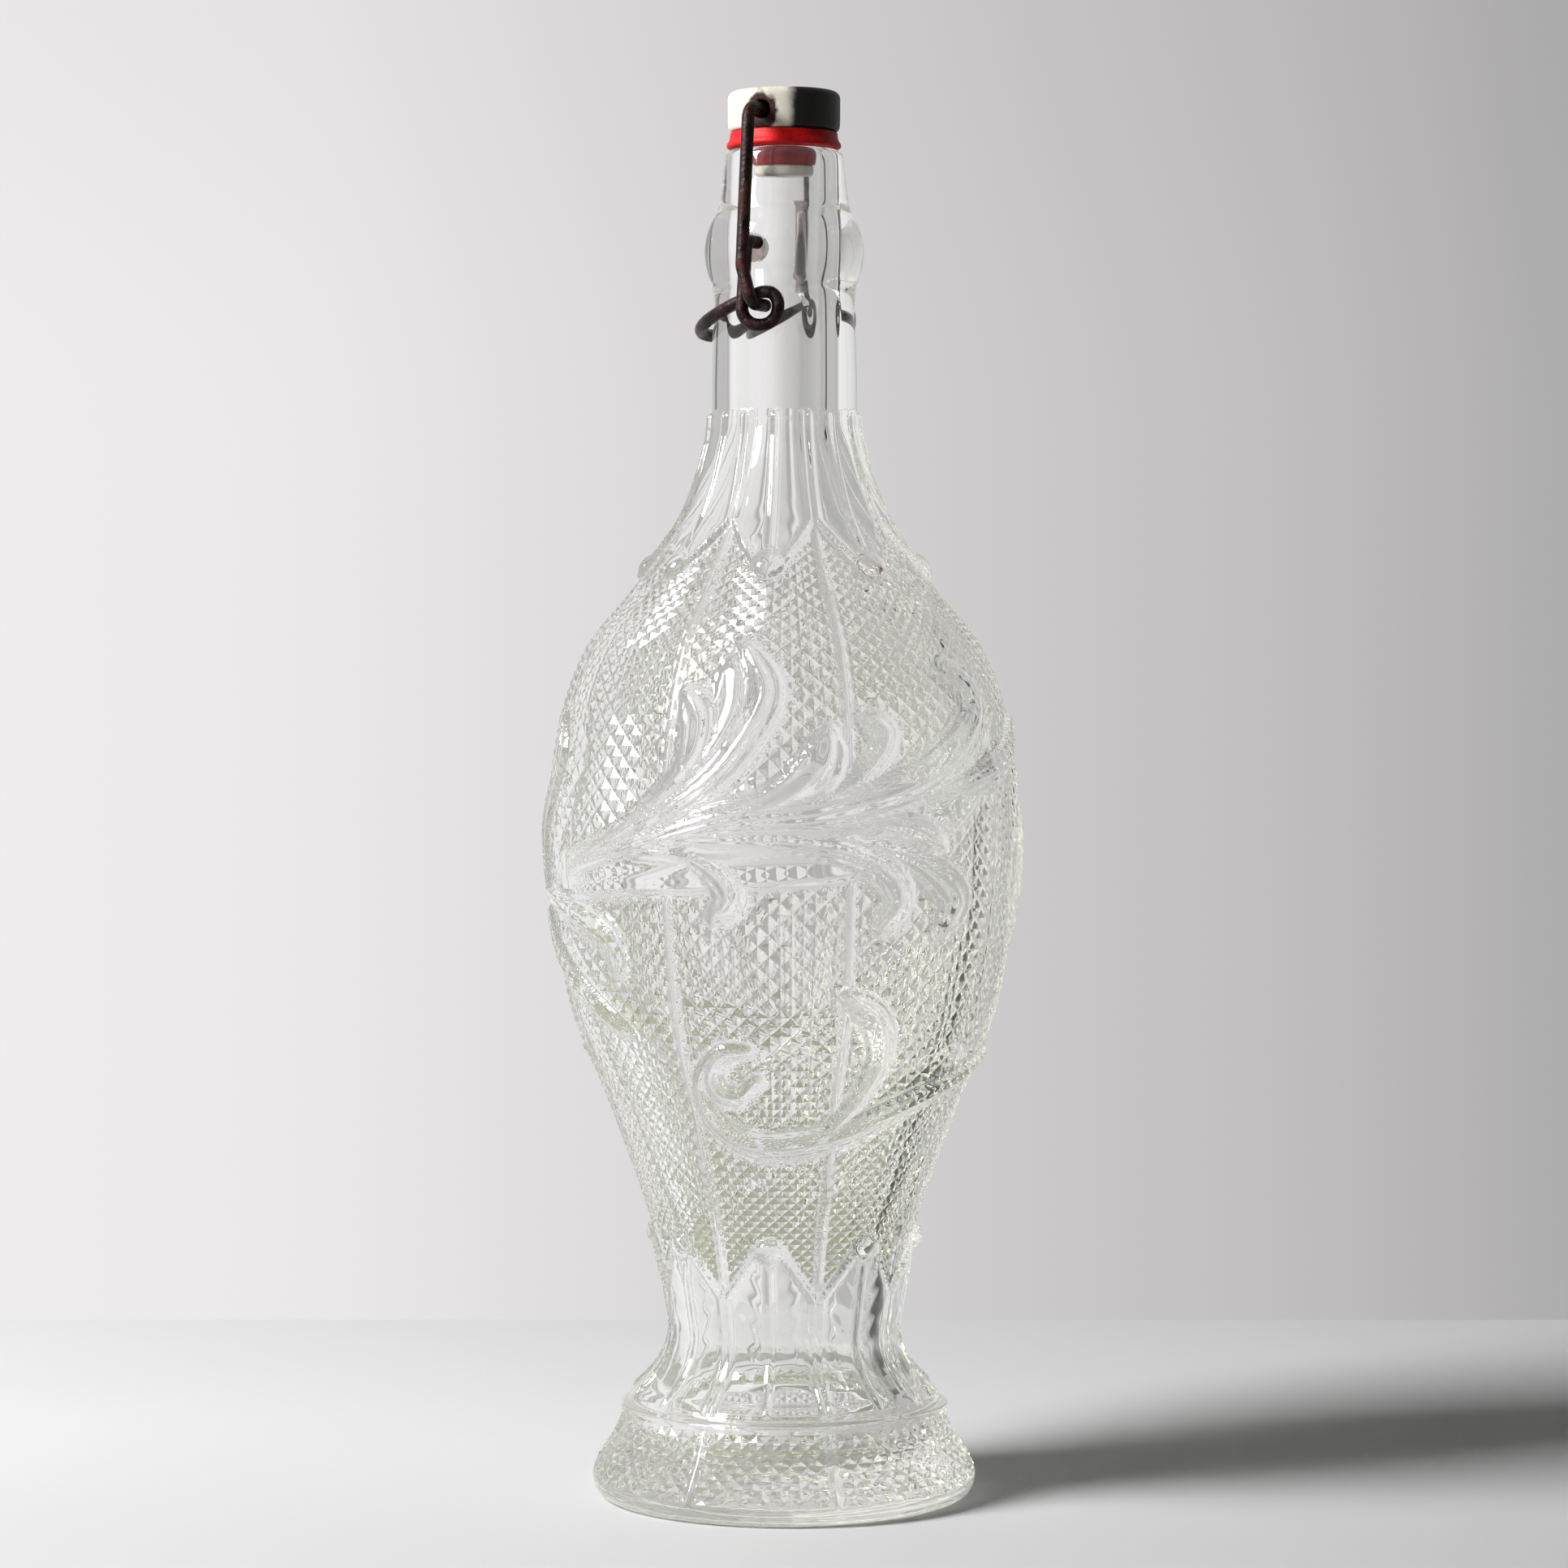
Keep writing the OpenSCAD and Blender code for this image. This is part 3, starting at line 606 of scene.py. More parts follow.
class Stroke:
    """One stroke of the acanthus scroll, in its place on the glass."""

    def __init__(self, sweep, shift):
        self.lift = sweep.lift * SCROLL_RELIEF
        self.flutes = sweep.flutes
        self.half_width = sweep.half_width
        self.line = catmull([(b + shift, z) for b, z in sweep.line], 22 + 8 * len(sweep.line))
        # The share of the full width along the line: it swells late and ends blunt
        way = np.linspace(0, 1, len(self.line))
        self.share = 0.3 + 0.7 * np.sin(pi * (0.06 + 0.88 * way**sweep.late)) ** 0.8
        (left, low), (right, high) = self.line.min(axis=0), self.line.max(axis=0)
        self.low = low - self.half_width - 2
        self.high = high + self.half_width + 2
        self.middle = (left + right) / 2
        self.reach = (right - left) / 2 + 14

    def near(self, bearing, z):
        return (z > self.low) & (z < self.high) & (np.abs(turn(bearing, self.middle)) < self.reach)

    def measure(self, bearing, z, r):
        """Across (-1 to 1 inside), the share of the full width, and the distance outside, in mm."""
        scale = (r * pi / 180)[:, None]
        dx = turn(bearing[:, None], self.line[None, :, 0]) * scale
        dz = z[:, None] - self.line[None, :, 1]
        d2 = dx**2 + dz**2
        i = np.argmin(d2, axis=1)
        rows = np.arange(len(i))
        j = np.clip(i, 0, len(self.line) - 2)
        step_b = (self.line[j + 1, 0] - self.line[j, 0]) * scale[:, 0]
        step_z = self.line[j + 1, 1] - self.line[j, 1]
        size = np.hypot(step_b, step_z) + 1e-9
        side = (dx[rows, j] * step_z - dz[rows, j] * step_b) / size
        within = (i > 0) & (i < len(self.line) - 1)
        gap = np.where(within, np.abs(side), np.sqrt(d2[rows, i]))
        width = self.half_width * self.share[i]
        return np.sign(side) * gap / width, self.share[i], gap - width


STROKES = [Stroke(sweep, shift) for shift in (0, 180) for sweep in SWEEPS]


def pyramid(u, v):
    """Height from 0 to 1 over a diamond lattice whose points lie where u + v is even."""
    du = u - np.floor(u)
    dv = v - np.floor(v)
    even = (np.floor(u) + np.floor(v)) % 2 == 0
    near = np.where(even, du + dv, 1 - du + dv)
    return np.abs(1 - near)


def leaf_half(z, panel):
    """Half the width of a leaf at a height, in mm, where panel is half the width of a panel."""
    def arch(t):
        return np.sqrt(np.clip(1 - (1 - t) ** 2.2, 0, 1)) * (0.42 + 0.58 * t**1.6)

    shoulder = arch(np.clip((z - SHOULDER_TIP) / SHOULDER_ARCH, 0, 1))
    stem = arch(np.clip((STEM_TIP - z) / STEM_ARCH, 0, 1))
    inside = ((z > SHOULDER_TIP) & (z < SHOULDER_ROOT)) | ((z > STEM_ROOT) & (z < STEM_TIP))
    return np.where(inside, np.where(z > HALF_WAY, shoulder, stem) * panel, -9.0)


def raise_leaves(skin):
    """Leaves with raised borders, a midrib and faint veins in the hollow, and a curled tip."""
    z, high = skin.z, skin.z > HALF_WAY
    off = turn(skin.bearing * PANELS, LEAF_BEARING * PANELS) / PANELS * skin.r * pi / 180
    half = leaf_half(z, 180 / PANELS * skin.r * pi / 180)
    edge = half - np.abs(off)
    tip = np.where(high, z - SHOULDER_CURL, STEM_CURL - z)
    shoulder = smoothstep(z, SHOULDER_ROOT, SHOULDER_ROOT - 1.4)
    full = np.where(high, shoulder, smoothstep(z, STEM_ROOT, STEM_ROOT + 2.4))
    by_tip = np.where(high, smoothstep(z, *SHOULDER_VEINS), smoothstep(z, *STEM_VEINS))
    slant = np.abs(off) * 0.9 + np.where(high, z, -z)
    hollow = smoothstep(edge, 0.8, 2.4) * smoothstep(np.abs(off), 0.6, 1.6)
    vein = VEIN_RELIEF * by_tip * np.sin(slant * 1.1) * hollow
    border = BORDER_RELIEF * np.exp(-((edge - 0.75) / 0.62) ** 2)
    midrib = MIDRIB_RELIEF * np.exp(-(off / 0.55) ** 2) * smoothstep(tip, 2.0, 5.0)
    leaf = (LEAF_RELIEF * smoothstep(edge, 0.0, 0.5) + border + midrib + vein) * full
    skin.height = np.where(edge > 0, leaf, skin.height)
    skin.clear = np.where(half > 0, np.minimum(skin.clear, -edge), skin.clear)

    curl_half = np.where(high, SHOULDER_CURL_HALF, STEM_CURL_HALF)
    curl = 1 - (off / curl_half) ** 2 - ((tip + 0.2) / CURL_HALF_H) ** 2
    bulge = np.sqrt(np.clip(curl, 0, 1))
    skin.height = np.maximum(skin.height, np.where(curl > 0, CURL_RELIEF * bulge, 0))
    skin.clear = np.where(curl > -0.6, np.minimum(skin.clear, -bulge * 2), skin.clear)


def raise_scroll(skin):
    """The strokes of the scroll: rounded, a little creased, and each over what lies lower."""
    for stroke in STROKES:
        near = np.nonzero(stroke.near(skin.bearing, skin.z))[0]
        if not len(near):
            continue
        across, share, gap = stroke.measure(skin.bearing[near], skin.z[near], skin.r[near])
        rounded_top = np.sqrt(np.clip(1 - across**2, 0, 1))
        lift = stroke.lift * np.sqrt(share) * (0.35 + 0.65 * rounded_top) * smoothstep(-gap, 0.0, 0.7)
        lift *= 0.86 + 0.14 * np.cos(across * 2 * pi)
        best = (gap < 0) & (lift > skin.height[near])
        fluted = stroke.flutes * smoothstep(-gap, 0.3, 1.2)
        skin.height[near] = np.where(best, lift, skin.height[near])
        skin.flute[near] = np.where(best, across, skin.flute[near])
        skin.flute_share[near] = np.where(best, fluted, skin.flute_share[near])
        skin.clear[near] = np.minimum(skin.clear[near], gap)


def in_bands(z, bands):
    """Whether heights lie in any of the bands."""
    return np.any([(z > low) & (z < high) for low, high in bands], axis=0)


def cut_diamonds(skin):
    """Diamonds clear of the leaves and the scroll, and the ribs between the panels."""
    clear = skin.clear
    rib_off = np.abs(turn(skin.bearing * PANELS, RIB_BEARING * PANELS) / PANELS) * skin.r * pi / 180
    cut = in_bands(skin.z, DIAMOND_BANDS)
    off_rib = smoothstep(rib_off, RIB_HALF, RIB_VALLEY)
    points = DIAMOND_RELIEF * skin.r * (pyramid(skin.u, skin.v) - DIAMOND_SUNK)
    diamonds = np.where(cut, skin.diamond * smoothstep(clear, 0.5, 1.9) * points * off_rib, 0)
    by_rib = in_bands(skin.z, RIB_BANDS) & (clear > 0) & (rib_off < RIB_VALLEY)
    rib = RIB_RELIEF * np.sqrt(np.clip(1 - (rib_off / RIB_HALF) ** 2, 0, 1)) - RIB_SUNK
    ribs = np.where(by_rib, rib * (1 - off_rib) * smoothstep(clear, 0.0, 0.9), 0)
    skin.height = np.where(clear > 0, skin.height + diamonds + ribs, skin.height)
    skin.rib_off = rib_off
    skin.flat = cut & (clear > 0.9) & (rib_off > RIB_VALLEY)


# ---- The glass: its mesh ----

class Glass:
    """The bottle's one closed skin, on a grid of columns and rows that is finer under the relief."""

    # How many times finer the finest cells are than a cell of the grid
    FINE = 8
    # The widths of cell, in mm, that the relief, the ribs, the sockets and the plain glass want
    FOR_RELIEF, FOR_RIBS, FOR_SOCKETS, PLAIN = 0.62, 0.75, 0.22, 9.0
    # A cell is split when it is wider than this share of what is wanted
    SPLIT_FROM = 1.15

    def __init__(self):
        self.line = outer_line()
        steps = np.hypot(*np.diff(self.line, axis=0).T)
        self.reach = np.concatenate([[0], np.cumsum(steps)])
        self.lay_rows()
        self.corner_index, self.corners = {}, []
        self.verts, self.faces, self.smooth = [], [], []

    def profile(self, s):
        """The radius and the height at a distance along the outline."""
        return np.interp(s, self.reach, self.line[:, 0]), np.interp(s, self.reach, self.line[:, 1])

    def diamond_rows(self, start, end, aspect):
        """Places half a diamond apart along the outline, fitted to a band."""
        places = [start]
        while places[-1] < end:
            r = float(self.profile(places[-1])[0])
            places.append(places[-1] + aspect * 2 * pi * r / COLUMNS)
        return start + (np.array(places) - start) * (end - start) / (places[-1] - start)

    def lay_rows(self):
        """Where the rows lie along the outline, from the foot up to the lip's top."""
        # Bands, by the height of their top: a number of rows, or diamonds of a height to width
        bands = [(4.6, 5, None), (18.9, None, 0.96), (22.4, 5, None), (48.0, 20, None), (215.0, None, 0.93),
                 (NECK_Z, 26, None), (264.0, 14, None), (285.0, 20, None), (None, 16, None)]
        rows, in_diamonds = [0.0], []
        start = 0.0
        for top, count, aspect in bands:
            end = float(np.interp(top, self.line[:, 1], self.reach)) if top else float(self.reach[-1])
            places = self.diamond_rows(start, end, aspect) if aspect else np.linspace(start, end, count + 1)
            rows += list(places[1:])
            in_diamonds += [float(bool(aspect))] * (len(places) - 1)
            start = end
        self.rows = np.array(rows)
        self.in_diamonds = np.array(in_diamonds)

    def skin(self, u, v):
        """The glass at points of the grid: place on the outline, and relief."""
        n = len(u)
        along = np.interp(v, np.arange(len(self.rows)), self.rows)
        r, z = self.profile(along)
        diamond = np.interp(v, np.arange(len(self.in_diamonds)) + 0.5, self.in_diamonds)
        skin = SimpleNamespace(
            u=u, v=v, along=along, r=r, z=z, bearing=RIB_BEARING + u * 360.0 / COLUMNS,
            diamond=(diamond > 0.5).astype(float), height=np.zeros(n),
            flute=np.zeros(n), flute_share=np.zeros(n), clear=np.full(n, 9.0),
        )
        raise_leaves(skin)
        raise_scroll(skin)
        cut_diamonds(skin)
        return skin

    def wanted_width(self, skin, width):
        """The width of cell that the relief wants, in mm, at cells of a width."""
        from_socket = np.hypot(skin.r * np.sin(np.radians(skin.bearing)), skin.z - COLLAR_Z)
        at_socket = (from_socket < 3.2 + width) & (np.abs(skin.z - COLLAR_Z) < COLLAR_HALF_H)
        at_relief = (skin.clear < 0.9 + width * 0.8) & (skin.z < RELIEF_TOP_Z)
        at_rib = (skin.rib_off < RIB_VALLEY + width * 0.5) & in_bands(skin.z, FINE_RIB_BANDS)
        wanted = np.where(at_relief, self.FOR_RELIEF, self.PLAIN)
        wanted = np.where(at_rib, np.minimum(wanted, self.FOR_RIBS), wanted)
        return np.where(at_socket, self.FOR_SOCKETS, wanted)

    def cells(self):
        """Square cells as (column, row, size), counted in the finest cells."""
        size = self.FINE
        columns, rows = np.meshgrid(np.arange(COLUMNS) * size, np.arange(len(self.rows) - 1) * size)
        cells = np.stack([columns.ravel(), rows.ravel()], axis=1)
        done = []
        while size >= 1 and len(cells):
            middle = (cells + size / 2) / self.FINE
            skin = self.skin(middle[:, 0], middle[:, 1])
            width = skin.r * 2 * pi / COLUMNS * size / self.FINE
            split = (width > self.wanted_width(skin, width) * self.SPLIT_FROM) & (size > 1)
            done += [(int(a), int(b), size) for a, b in cells[~split]]
            size //= 2
            quarters = [np.array(q) * size for q in ((0, 0), (1, 0), (0, 1), (1, 1))]
            cells = np.concatenate([cells[split] + quarter for quarter in quarters])
        return done

    def corner(self, a, b):
        """The number of the corner at a column and a row."""
        key = (a % (COLUMNS * self.FINE), b)
        if key not in self.corner_index:
            self.corner_index[key] = len(self.corners)
            self.corners.append(key)
        return self.corner_index[key]

    def edge_of(self, cell, known):
        """The known corners round a cell, its finer neighbours' corners among them."""
        a, b, size = cell
        ring = []
        starts = ((a, b), (a + size, b), (a + size, b + size), (a, b + size))
        for (p, q), (dp, dq) in zip(starts, ((1, 0), (0, 1), (-1, 0), (0, -1))):
            for k in range(size):
                key = ((p + dp * k) % (COLUMNS * self.FINE), q + dq * k)
                if key in known:
                    ring.append(self.corner_index[key])
        return ring

    def lay_faces(self):
        """Faces over all the cells, and the middle of the cell that each belongs to."""
        cells = self.cells()
        for a, b, size in cells:
            for p, q in ((a, b), (a + size, b), (a + size, b + size), (a, b + size)):
                self.corner(p, q)
        known = set(self.corner_index)
        middles = []
        for cell in cells:
            a, b, size = cell
            ring = self.edge_of(cell, known)
            if len(ring) == 4:
                # The crease runs along a diamond's valley or ridge
                p0, p1, p2, p3 = ring
                even = ((a // self.FINE) + (b // self.FINE)) % 2 == 0
                faces = [(p0, p1, p3), (p1, p2, p3)] if even else [(p0, p1, p2), (p0, p2, p3)]
            elif size > 1:
                hub = self.corner(a + size // 2, b + size // 2)
                faces = [(ring[i], ring[(i + 1) % len(ring)], hub) for i in range(len(ring))]
            else:
                faces = [tuple(ring)]
            self.faces += faces
            middles += [(a + size / 2, b + size / 2)] * len(faces)
        return np.array(middles)

    def lay_outside(self):
        """The outside from the foot to the lip, and what its flutes need at each point."""
        middles = self.lay_faces() / self.FINE
        self.smooth += (~self.skin(middles[:, 0], middles[:, 1]).flat).tolist()
        at = np.array(self.corners, float) / self.FINE
        skin = self.skin(at[:, 0], at[:, 1])
        step = 0.35
        r_ahead, z_ahead = self.profile(skin.along + step)
        r_behind, z_behind = self.profile(skin.along - step)
        size = np.hypot(r_ahead - r_behind, z_ahead - z_behind)
        r = skin.r + (z_ahead - z_behind) / size * skin.height
        z = skin.z - (r_ahead - r_behind) / size * skin.height
        angle = np.radians(skin.bearing)
        x, y = r * np.sin(angle), -r * np.cos(angle)
        # The sockets are pressed in square to the collar, down to a flat floor
        from_socket = np.hypot(x, z - COLLAR_Z)
        painted_shade_red = smoothstep(from_socket, SOCKET_R + 0.32, SOCKET_R + 0.02)
        painted_shade_red *= np.abs(z - COLLAR_Z) < COLLAR_HALF_H
        y = np.sign(y) * (np.abs(y) + (SOCKET_FLOOR - np.abs(y)) * painted_shade_red)
        self.verts += list(map(tuple, np.stack([x, y, z], axis=1)))
        return skin

    def row(self, number):
        """The corners along one whole row."""
        return [self.corner_index[(c * self.FINE, number * self.FINE)] for c in range(COLUMNS)]

    def carry_on(self, last, line, inward):
        """Goes on from a row of corners along a line of (radius, height), to its end on the axis."""
        bearings = [radians(RIB_BEARING + i * 360.0 / COLUMNS) for i in range(COLUMNS)]
        for r, z in line:
            start = len(self.verts)
            if r == 0:
                ring = [start] * COLUMNS
                self.verts.append((0.0, 0.0, z))
            else:
                ring = [start + i for i in range(COLUMNS)]
                self.verts += [(r * sin(b), -r * cos(b), z) for b in bearings]
            for i in range(COLUMNS):
                j = (i + 1) % COLUMNS
                face = tuple(dict.fromkeys([last[i], last[j], ring[j], ring[i]]))
                self.faces.append(face[::-1] if inward else face)
                self.smooth.append(True)
            last = ring

    def build(self, finish):
        skin = self.lay_outside()
        self.carry_on(self.row(len(self.rows) - 1), inner_line(), False)
        shares = (1, 0.9, 0.8, 0.65, 0.5, 0.35, 0.2, 0.1, 0)
        push_up = [(PUSH_UP_R * t, PUSH_UP_H * (1 - t * t)) for t in shares]
        self.carry_on(self.row(0), [(STAND_R, 0.0)] + push_up, True)
        obj = piece("glass_bottle", self.verts, self.faces, finish, "bottle")
        mesh = obj.data
        mesh.polygons.foreach_set("use_smooth", self.smooth)
        rest = np.zeros(len(self.verts) - len(skin.flute))
        for name, values in (("flute", skin.flute), ("flute_share", skin.flute_share)):
            layer = mesh.attributes.new(name, "FLOAT", "POINT")
            layer.data.foreach_set("value", np.concatenate([values, rest]).astype(np.float32))
        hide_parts("bottle")


# ---- The stopper and the gasket ----

def cap_line():
    """The stopper's outline from under its nose, up the core and the cap's wall, to its sunk top."""
    nose_z = GASKET_Z - SLEEVE_H - NOSE_H
    nose_top = nose_z + NOSE_H
    line = [(0, nose_z)] + arc(NOSE_R - 1, nose_z + 1, 1, range(-90, 1, 15))
    line += [(NOSE_R, nose_top - 0.35), (NOSE_R - 0.3, nose_top - 0.1), (CORE_R, nose_top - 0.1)]
    line += [(CORE_R, CAP_Z + 0.02), (CAP_R - 0.9, CAP_Z + 0.02), (CAP_R - 0.35, CAP_Z + 0.3)]
    line += [(CAP_R - 0.08, CAP_Z + 1.1), (CAP_R - 0.02, CAP_Z + 3)]
    top, edge = CAP_Z + CAP_H, 1.6
    for a in range(0, 91, 15):
        line.append((CAP_R - edge * (1 - cos(radians(a))), top - 1.75 + edge * sin(radians(a))))
    return line + [(CAP_R - 3.4, top - 0.04), (CAP_R - 6, top - 0.02), (0, top - 0.06)]


def drill_through(obj):
    """Drills the bail's hole across the cap, from side to side."""
    verts, faces = turned([(0, -20), (CAP_HOLE_R, -20), (CAP_HOLE_R, 20), (0, 20)], 48)
    drill = add_mesh("drill", [(x * MM, z * MM, y * MM + CAP_HOLE_Z * MM) for x, y, z in verts], faces)
    tighten(drill)
    cut = obj.modifiers.new("hole", "BOOLEAN")
    cut.operation, cut.object, cut.solver = "DIFFERENCE", drill, "EXACT"
    apply_modifiers(obj)
    bpy.data.objects.remove(drill)


def make_stopper(finish):
    """The porcelain, with its hole drilled and all its edges softened, as under a glaze."""
    verts, faces = turned(cap_line(), 128)
    obj = piece("porcelain_stopper", verts, faces, finish, "stopper")
    tighten(obj)
    drill_through(obj)
    knit = obj.modifiers.new("knit", "REMESH")
    knit.mode, knit.voxel_size, knit.use_smooth_shade = "VOXEL", 0.30 * MM, True
    ease = obj.modifiers.new("ease", "SMOOTH")
    ease.factor, ease.iterations = 0.5, 4
    apply_modifiers(obj)
    obj.data.polygons.foreach_set("use_smooth", [True] * len(obj.data.polygons))
    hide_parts("stopper")


def make_gasket(finish):
    """The disc flares to a soft wavy edge, and its sleeve goes down into the mouth."""
    low, high, bore = GASKET_Z - SLEEVE_H, GASKET_Z + GASKET_H - 0.06, CORE_R + 0.06
    line = [(bore, low), (SLEEVE_R - 0.75, low), (SLEEVE_R - 0.5, low + 0.25)]
    line += [(SLEEVE_R - 0.2, GASKET_Z - 2), (SLEEVE_R, GASKET_Z - 0.5), (SLEEVE_R + 0.35, GASKET_Z - 0.02)]
    disc = [(10.5, 0), (12.25, 0.02), (12.6, 0.2), (12.68, 0.55), (12.6, 0.95), (12.3, 1.35), (12.0, 2.0),
            (11.9, 2.8), (11.85, 3.3), (11.6, 3.52)]
    line += [(r, GASKET_Z + h) for r, h in disc] + [(9.0, high), (bore, high)]
    around, count = 128, len(line)
    verts, faces = [], []
    for i in range(around):
        a = 2 * pi * i / around
        wave = 0.10 * sin(3 * a + 0.8) + 0.07 * sin(7 * a + 2.0)
        for j, (r, z) in enumerate(line):
            upper = z > GASKET_Z + 0.1
            edge = max(0.0, (r - 9) / 4) * (1 if upper else 0.2)
            drawn_in = 1 - 0.004 * edge * (1 + sin(5 * a))
            droop = min(0.0, wave) * edge if upper else 0.0
            verts.append((r * cos(a) * drawn_in, r * sin(a) * drawn_in, z + droop))
            k, m = (i + 1) % around, (j + 1) % count
            faces.append((i * count + j, k * count + j, k * count + m, i * count + m))
    obj = piece("rubber_gasket", verts, faces, finish, "stopper")
    tighten(obj)
    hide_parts("gasket")


# ---- The wires ----

# How a wire's end is rounded: (distance from the end, share of the radius)
WIRE_END = [(0.0, 0.72), (0.12, 0.9), (0.35, 1.0)]


def rounded(points, radii):
    """The wire's middle line: straights between the points, and arcs at its corners."""
    bent = [Vector(points[0])]
    for a, b, c, r in zip(points, points[1:], points[2:], radii[1:]):
        a, b, c = Vector(a), Vector(b), Vector(c)
        into, out_of = (b - a).normalized(), (c - b).normalized()
        bend = into.angle(out_of)
        aside = (out_of - into * into.dot(out_of)).normalized()
        start = b - into * (r * tan(bend / 2))
        count = max(3, ceil(degrees(bend) / 5))
        for i in range(count + 1):
            w = bend * i / count
            bent.append(start + into * (r * sin(w)) + aside * (r * (1 - cos(w))))
    bent.append(Vector(points[-1]))
    line = [bent[0]]
    for p in bent[1:]:
        gap = (p - line[-1]).length
        if gap > 0.04:
            extra = int(gap // 1.6)
            line += [line[-1].lerp(p, (i + 1) / (extra + 1)) for i in range(extra)] + [p]
    return line


def sections(line):
    """The points of a line, its heading there, and two directions square to it that don't twist."""
    last = len(line) - 1
    headings = [(line[min(i + 1, last)] - line[max(i - 1, 0)]).normalized() for i in range(last + 1)]
    start = Vector((0.3, 0.2, 1))
    side = (start - headings[0] * headings[0].dot(start)).normalized()
    out = []
    for point, heading in zip(line, headings):
        side = (side - heading * side.dot(heading)).normalized()
        out.append((point, heading, side, heading.cross(side)))
    return out


def make_wire(name, node, body, points, radii, finish, seed):
    """A round wire with slightly uneven thickness and rounded ends."""
    cuts = sections(rounded(points, radii))
    first, last = cuts[0], cuts[-1]
    rings = [(first[0] + first[1] * off, first[2], first[3], size) for off, size in WIRE_END]
    rings += [(point, side, up, 1.0) for point, _, side, up in cuts[1:-1]]
    rings += [(last[0] - last[1] * off, last[2], last[3], size) for off, size in reversed(WIRE_END)]
    around = 24
    verts = []
    for p, side, up, size in rings:
        for k in range(around):
            a = 2 * pi * k / around
            uneven = 1 + 0.008 * sin(p.x * 1.9 + p.z * 2.3 + seed) * sin(a + p.y) + 0.006 * sin(3 * a + p.z)
            verts.append(p + (side * cos(a) + up * sin(a)) * (WIRE_R * size * uneven))
    top = len(verts) - around
    faces = []
    for start in range(0, top, around):
        for k in range(around):
            j = (k + 1) % around
            faces.append((start + k, start + j, start + around + j, start + around + k))
    faces.append(tuple(reversed(range(around))))
    faces.append(tuple(range(top, top + around)))
    obj = piece(name, verts, faces, finish, body)
    tighten(obj)
    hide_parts(node)


def both_sides(half):
    """A line that goes on over the middle as its own mirror image."""
    return half + [(x, -y, z) for x, y, z in reversed(half)]


def make_lever(finish):
    """From a socket out and down to the eye, once round it, and on into the thumb loop."""
    top, low = EYE[1] + EYE_R, EYE[1] - EYE_R
    to_loop = LOOP_R - LINK_LOW_Y
    half = [
        (PIVOT[0], -(SOCKET_FLOOR + 0.1), PIVOT[1]), (PIVOT[0], -LINK_TOP_Y, PIVOT[1]),
        (EYE[0] - EYE_R, -(LINK_LOW_Y + 0.3), low), (EYE[0] + EYE_R, -(LINK_LOW_Y + to_loop * 0.45), low),
        (EYE[0] + EYE_R, -(LINK_LOW_Y + to_loop * 0.8), top), (EYE[0] - 1, -LOOP_R, top),
        (-LOOP_REACH, -LOOP_R, top - LOOP_DIP),
    ]
    radii = [0, 2.2, EYE_R, EYE_R - 0.05, EYE_R - 0.05, EYE_R, LOOP_R - 0.01]
    make_wire("wire_lever", "lever", "lever", both_sides(half), radii + radii[::-1], finish, 1.0)


def make_bail(finish):
    """From a pin in the lever's eye, out and up to the cap, and across through its hole."""
    half = [
        (PIN[0], -(LOOP_R - 0.4), PIN[1]), (PIN[0], -BAIL_LOW_Y, PIN[1]),
        (0.25 * PIN[0], -(BAIL_LOW_Y - 1), PIN[1] + 8.3), (0, -BAIL_TOP_Y, CAP_HOLE_Z),
    ]
    radii = [0, 2.2, 5, 3.4]
    make_wire("wire_bail", "bail", "bail", both_sides(half), radii + radii[::-1], finish, 4.0)


# ---- Floor, light and camera ----

def make_floor():
    left, right, front, back = -0.7, 0.6, 0.45, -0.245
    edges = ((left, front), (right, front), (right, back), (left, back))
    corners = [ASIDE * a + TOWARD * b for a, b in edges]
    floor = add_mesh("floor", [(p.x, p.y, -0.0001) for p in corners], [(0, 1, 2, 3)])
    floor.data.materials.append(pale_floor())


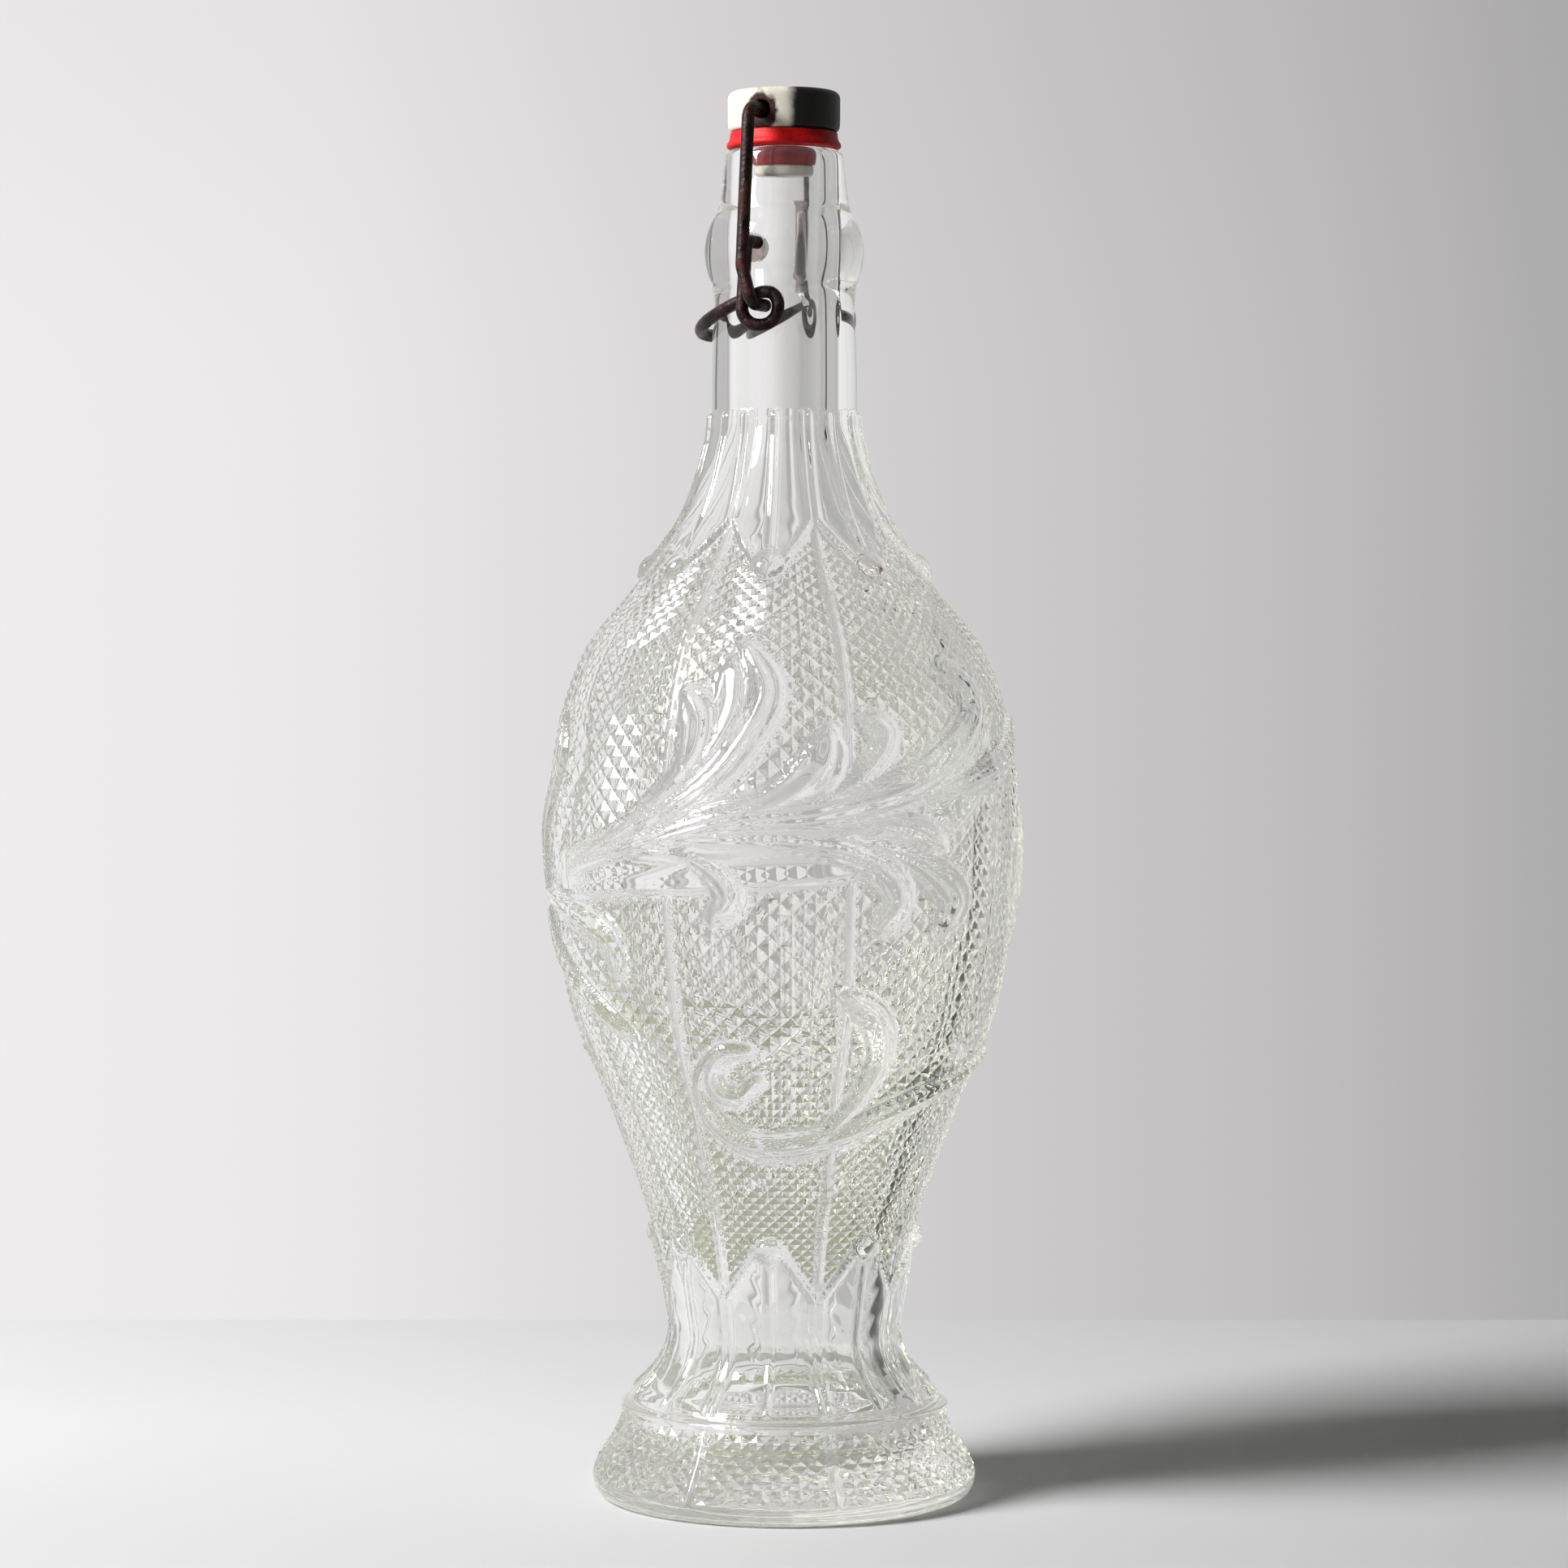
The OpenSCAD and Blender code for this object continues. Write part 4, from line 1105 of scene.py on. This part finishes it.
def make_world():
    """Pale walls for the camera, the glass and the gloss, brighter on the left; dim for all other rays."""
    world = bpy.data.worlds.new("room")
    bpy.context.scene.world = world
    world.use_nodes = True
    room = Nodes(world.node_tree)
    way = room.node("ShaderNodeTexCoord", output="Generated")
    aside, toward, up = room.along(way, ASIDE), room.along(way, TOWARD), room.along(way, (0.0, 0.0, 1.0))
    across = aside * 0.5 + 0.5
    wall = room.ramp(across, [
        (0.0, (0.80, 0.80, 0.80)), (0.25, (0.90, 0.89, 0.90)), (0.41, (0.875, 0.845, 0.865)),
        (0.449, (0.823, 0.807, 0.815)), (0.485, (0.725, 0.700, 0.710)), (0.50, (0.675, 0.650, 0.660)),
        (0.5285, (0.590, 0.575, 0.580)), (0.557, (0.530, 0.510, 0.517)), (0.584, (0.430, 0.423, 0.423)),
        (0.62, (0.45, 0.445, 0.44)), (0.75, (0.50, 0.495, 0.49)), (1.0, (0.48, 0.475, 0.47)),
    ])
    near_side = room.ramp(across, [
        (0.2, (0.70, 0.70, 0.70)), (0.45, (0.34, 0.34, 0.34)), (0.55, (0.25, 0.25, 0.25)),
        (0.8, (0.32, 0.32, 0.32)),
    ])
    far_side = room.blend(up.between(0.04, 0.16) * 0.06, wall, BLACK)
    walls = room.blend(toward.between(-0.2, 0.5), far_side, near_side)
    # A dark curtain on the right gives the glass and the gloss a dark edge; the camera doesn't see it
    camera = room.ray("Camera")
    curtain = (aside - 0.83).between(0.0, 0.03) * (0.90 - aside).between(0.0, 0.03) * (1.0 - camera)
    seen = camera.most(room.ray("Glossy")).most(room.ray("Transmission"))
    values = {"Color": room.blend(curtain, walls, colour(0.02, 0.02, 0.02)), "Strength": seen * 0.94 + 0.06}
    room.fill(room.tree.nodes["Background"], values)


def aim(name, data, place, way):
    """A lamp or a camera that looks along a way."""
    obj = add(name, data)
    obj.location = place
    obj.rotation_euler = way.to_track_quat("-Z", "Y").to_euler()
    return obj


def make_window():
    """A large window high on the left, a little towards the camera."""
    side, up, distance = radians(25), radians(34), 1.5
    way = (-ASIDE * cos(side) + TOWARD * sin(side)) * cos(up) + Vector((0, 0, sin(up)))
    lamp = bpy.data.lights.new("window", "AREA")
    lamp.shape, lamp.size, lamp.size_y, lamp.energy = "RECTANGLE", 0.54, 0.66, 40.5
    aim("window", lamp, Vector((0, 0, 0.16)) + way * distance, -way)


def make_camera():
    data = bpy.data.cameras.new("camera")
    data.sensor_width = 36.0
    data.lens = data.sensor_width * FOCAL / PICTURE
    down = atan2(PICTURE / 2 - HORIZON, FOCAL)
    ahead = -TOWARD * cos(down) - Vector((0, 0, sin(down)))
    place = TOWARD * CAMERA_REACH + Vector((0, 0, CAMERA_HEIGHT))
    bpy.context.scene.camera = aim("camera", data, place, ahead)


def let_light_through():
    """Enough turns of a ray for light that is guided round inside thick glass."""
    cycles = bpy.context.scene.cycles
    cycles.max_bounces = cycles.glossy_bounces = cycles.transmission_bounces = 40


make_camera()
make_floor()
make_world()
make_window()
let_light_through()
Glass().build(pressed_glass())
make_stopper(stained_porcelain())
make_gasket(red_rubber())
make_lever(rusty_wire("rusty lever wire", 0.0))
make_bail(rusty_wire("rusty bail wire", 0.7))

bpy.context.scene.view_settings.view_transform = "Standard"
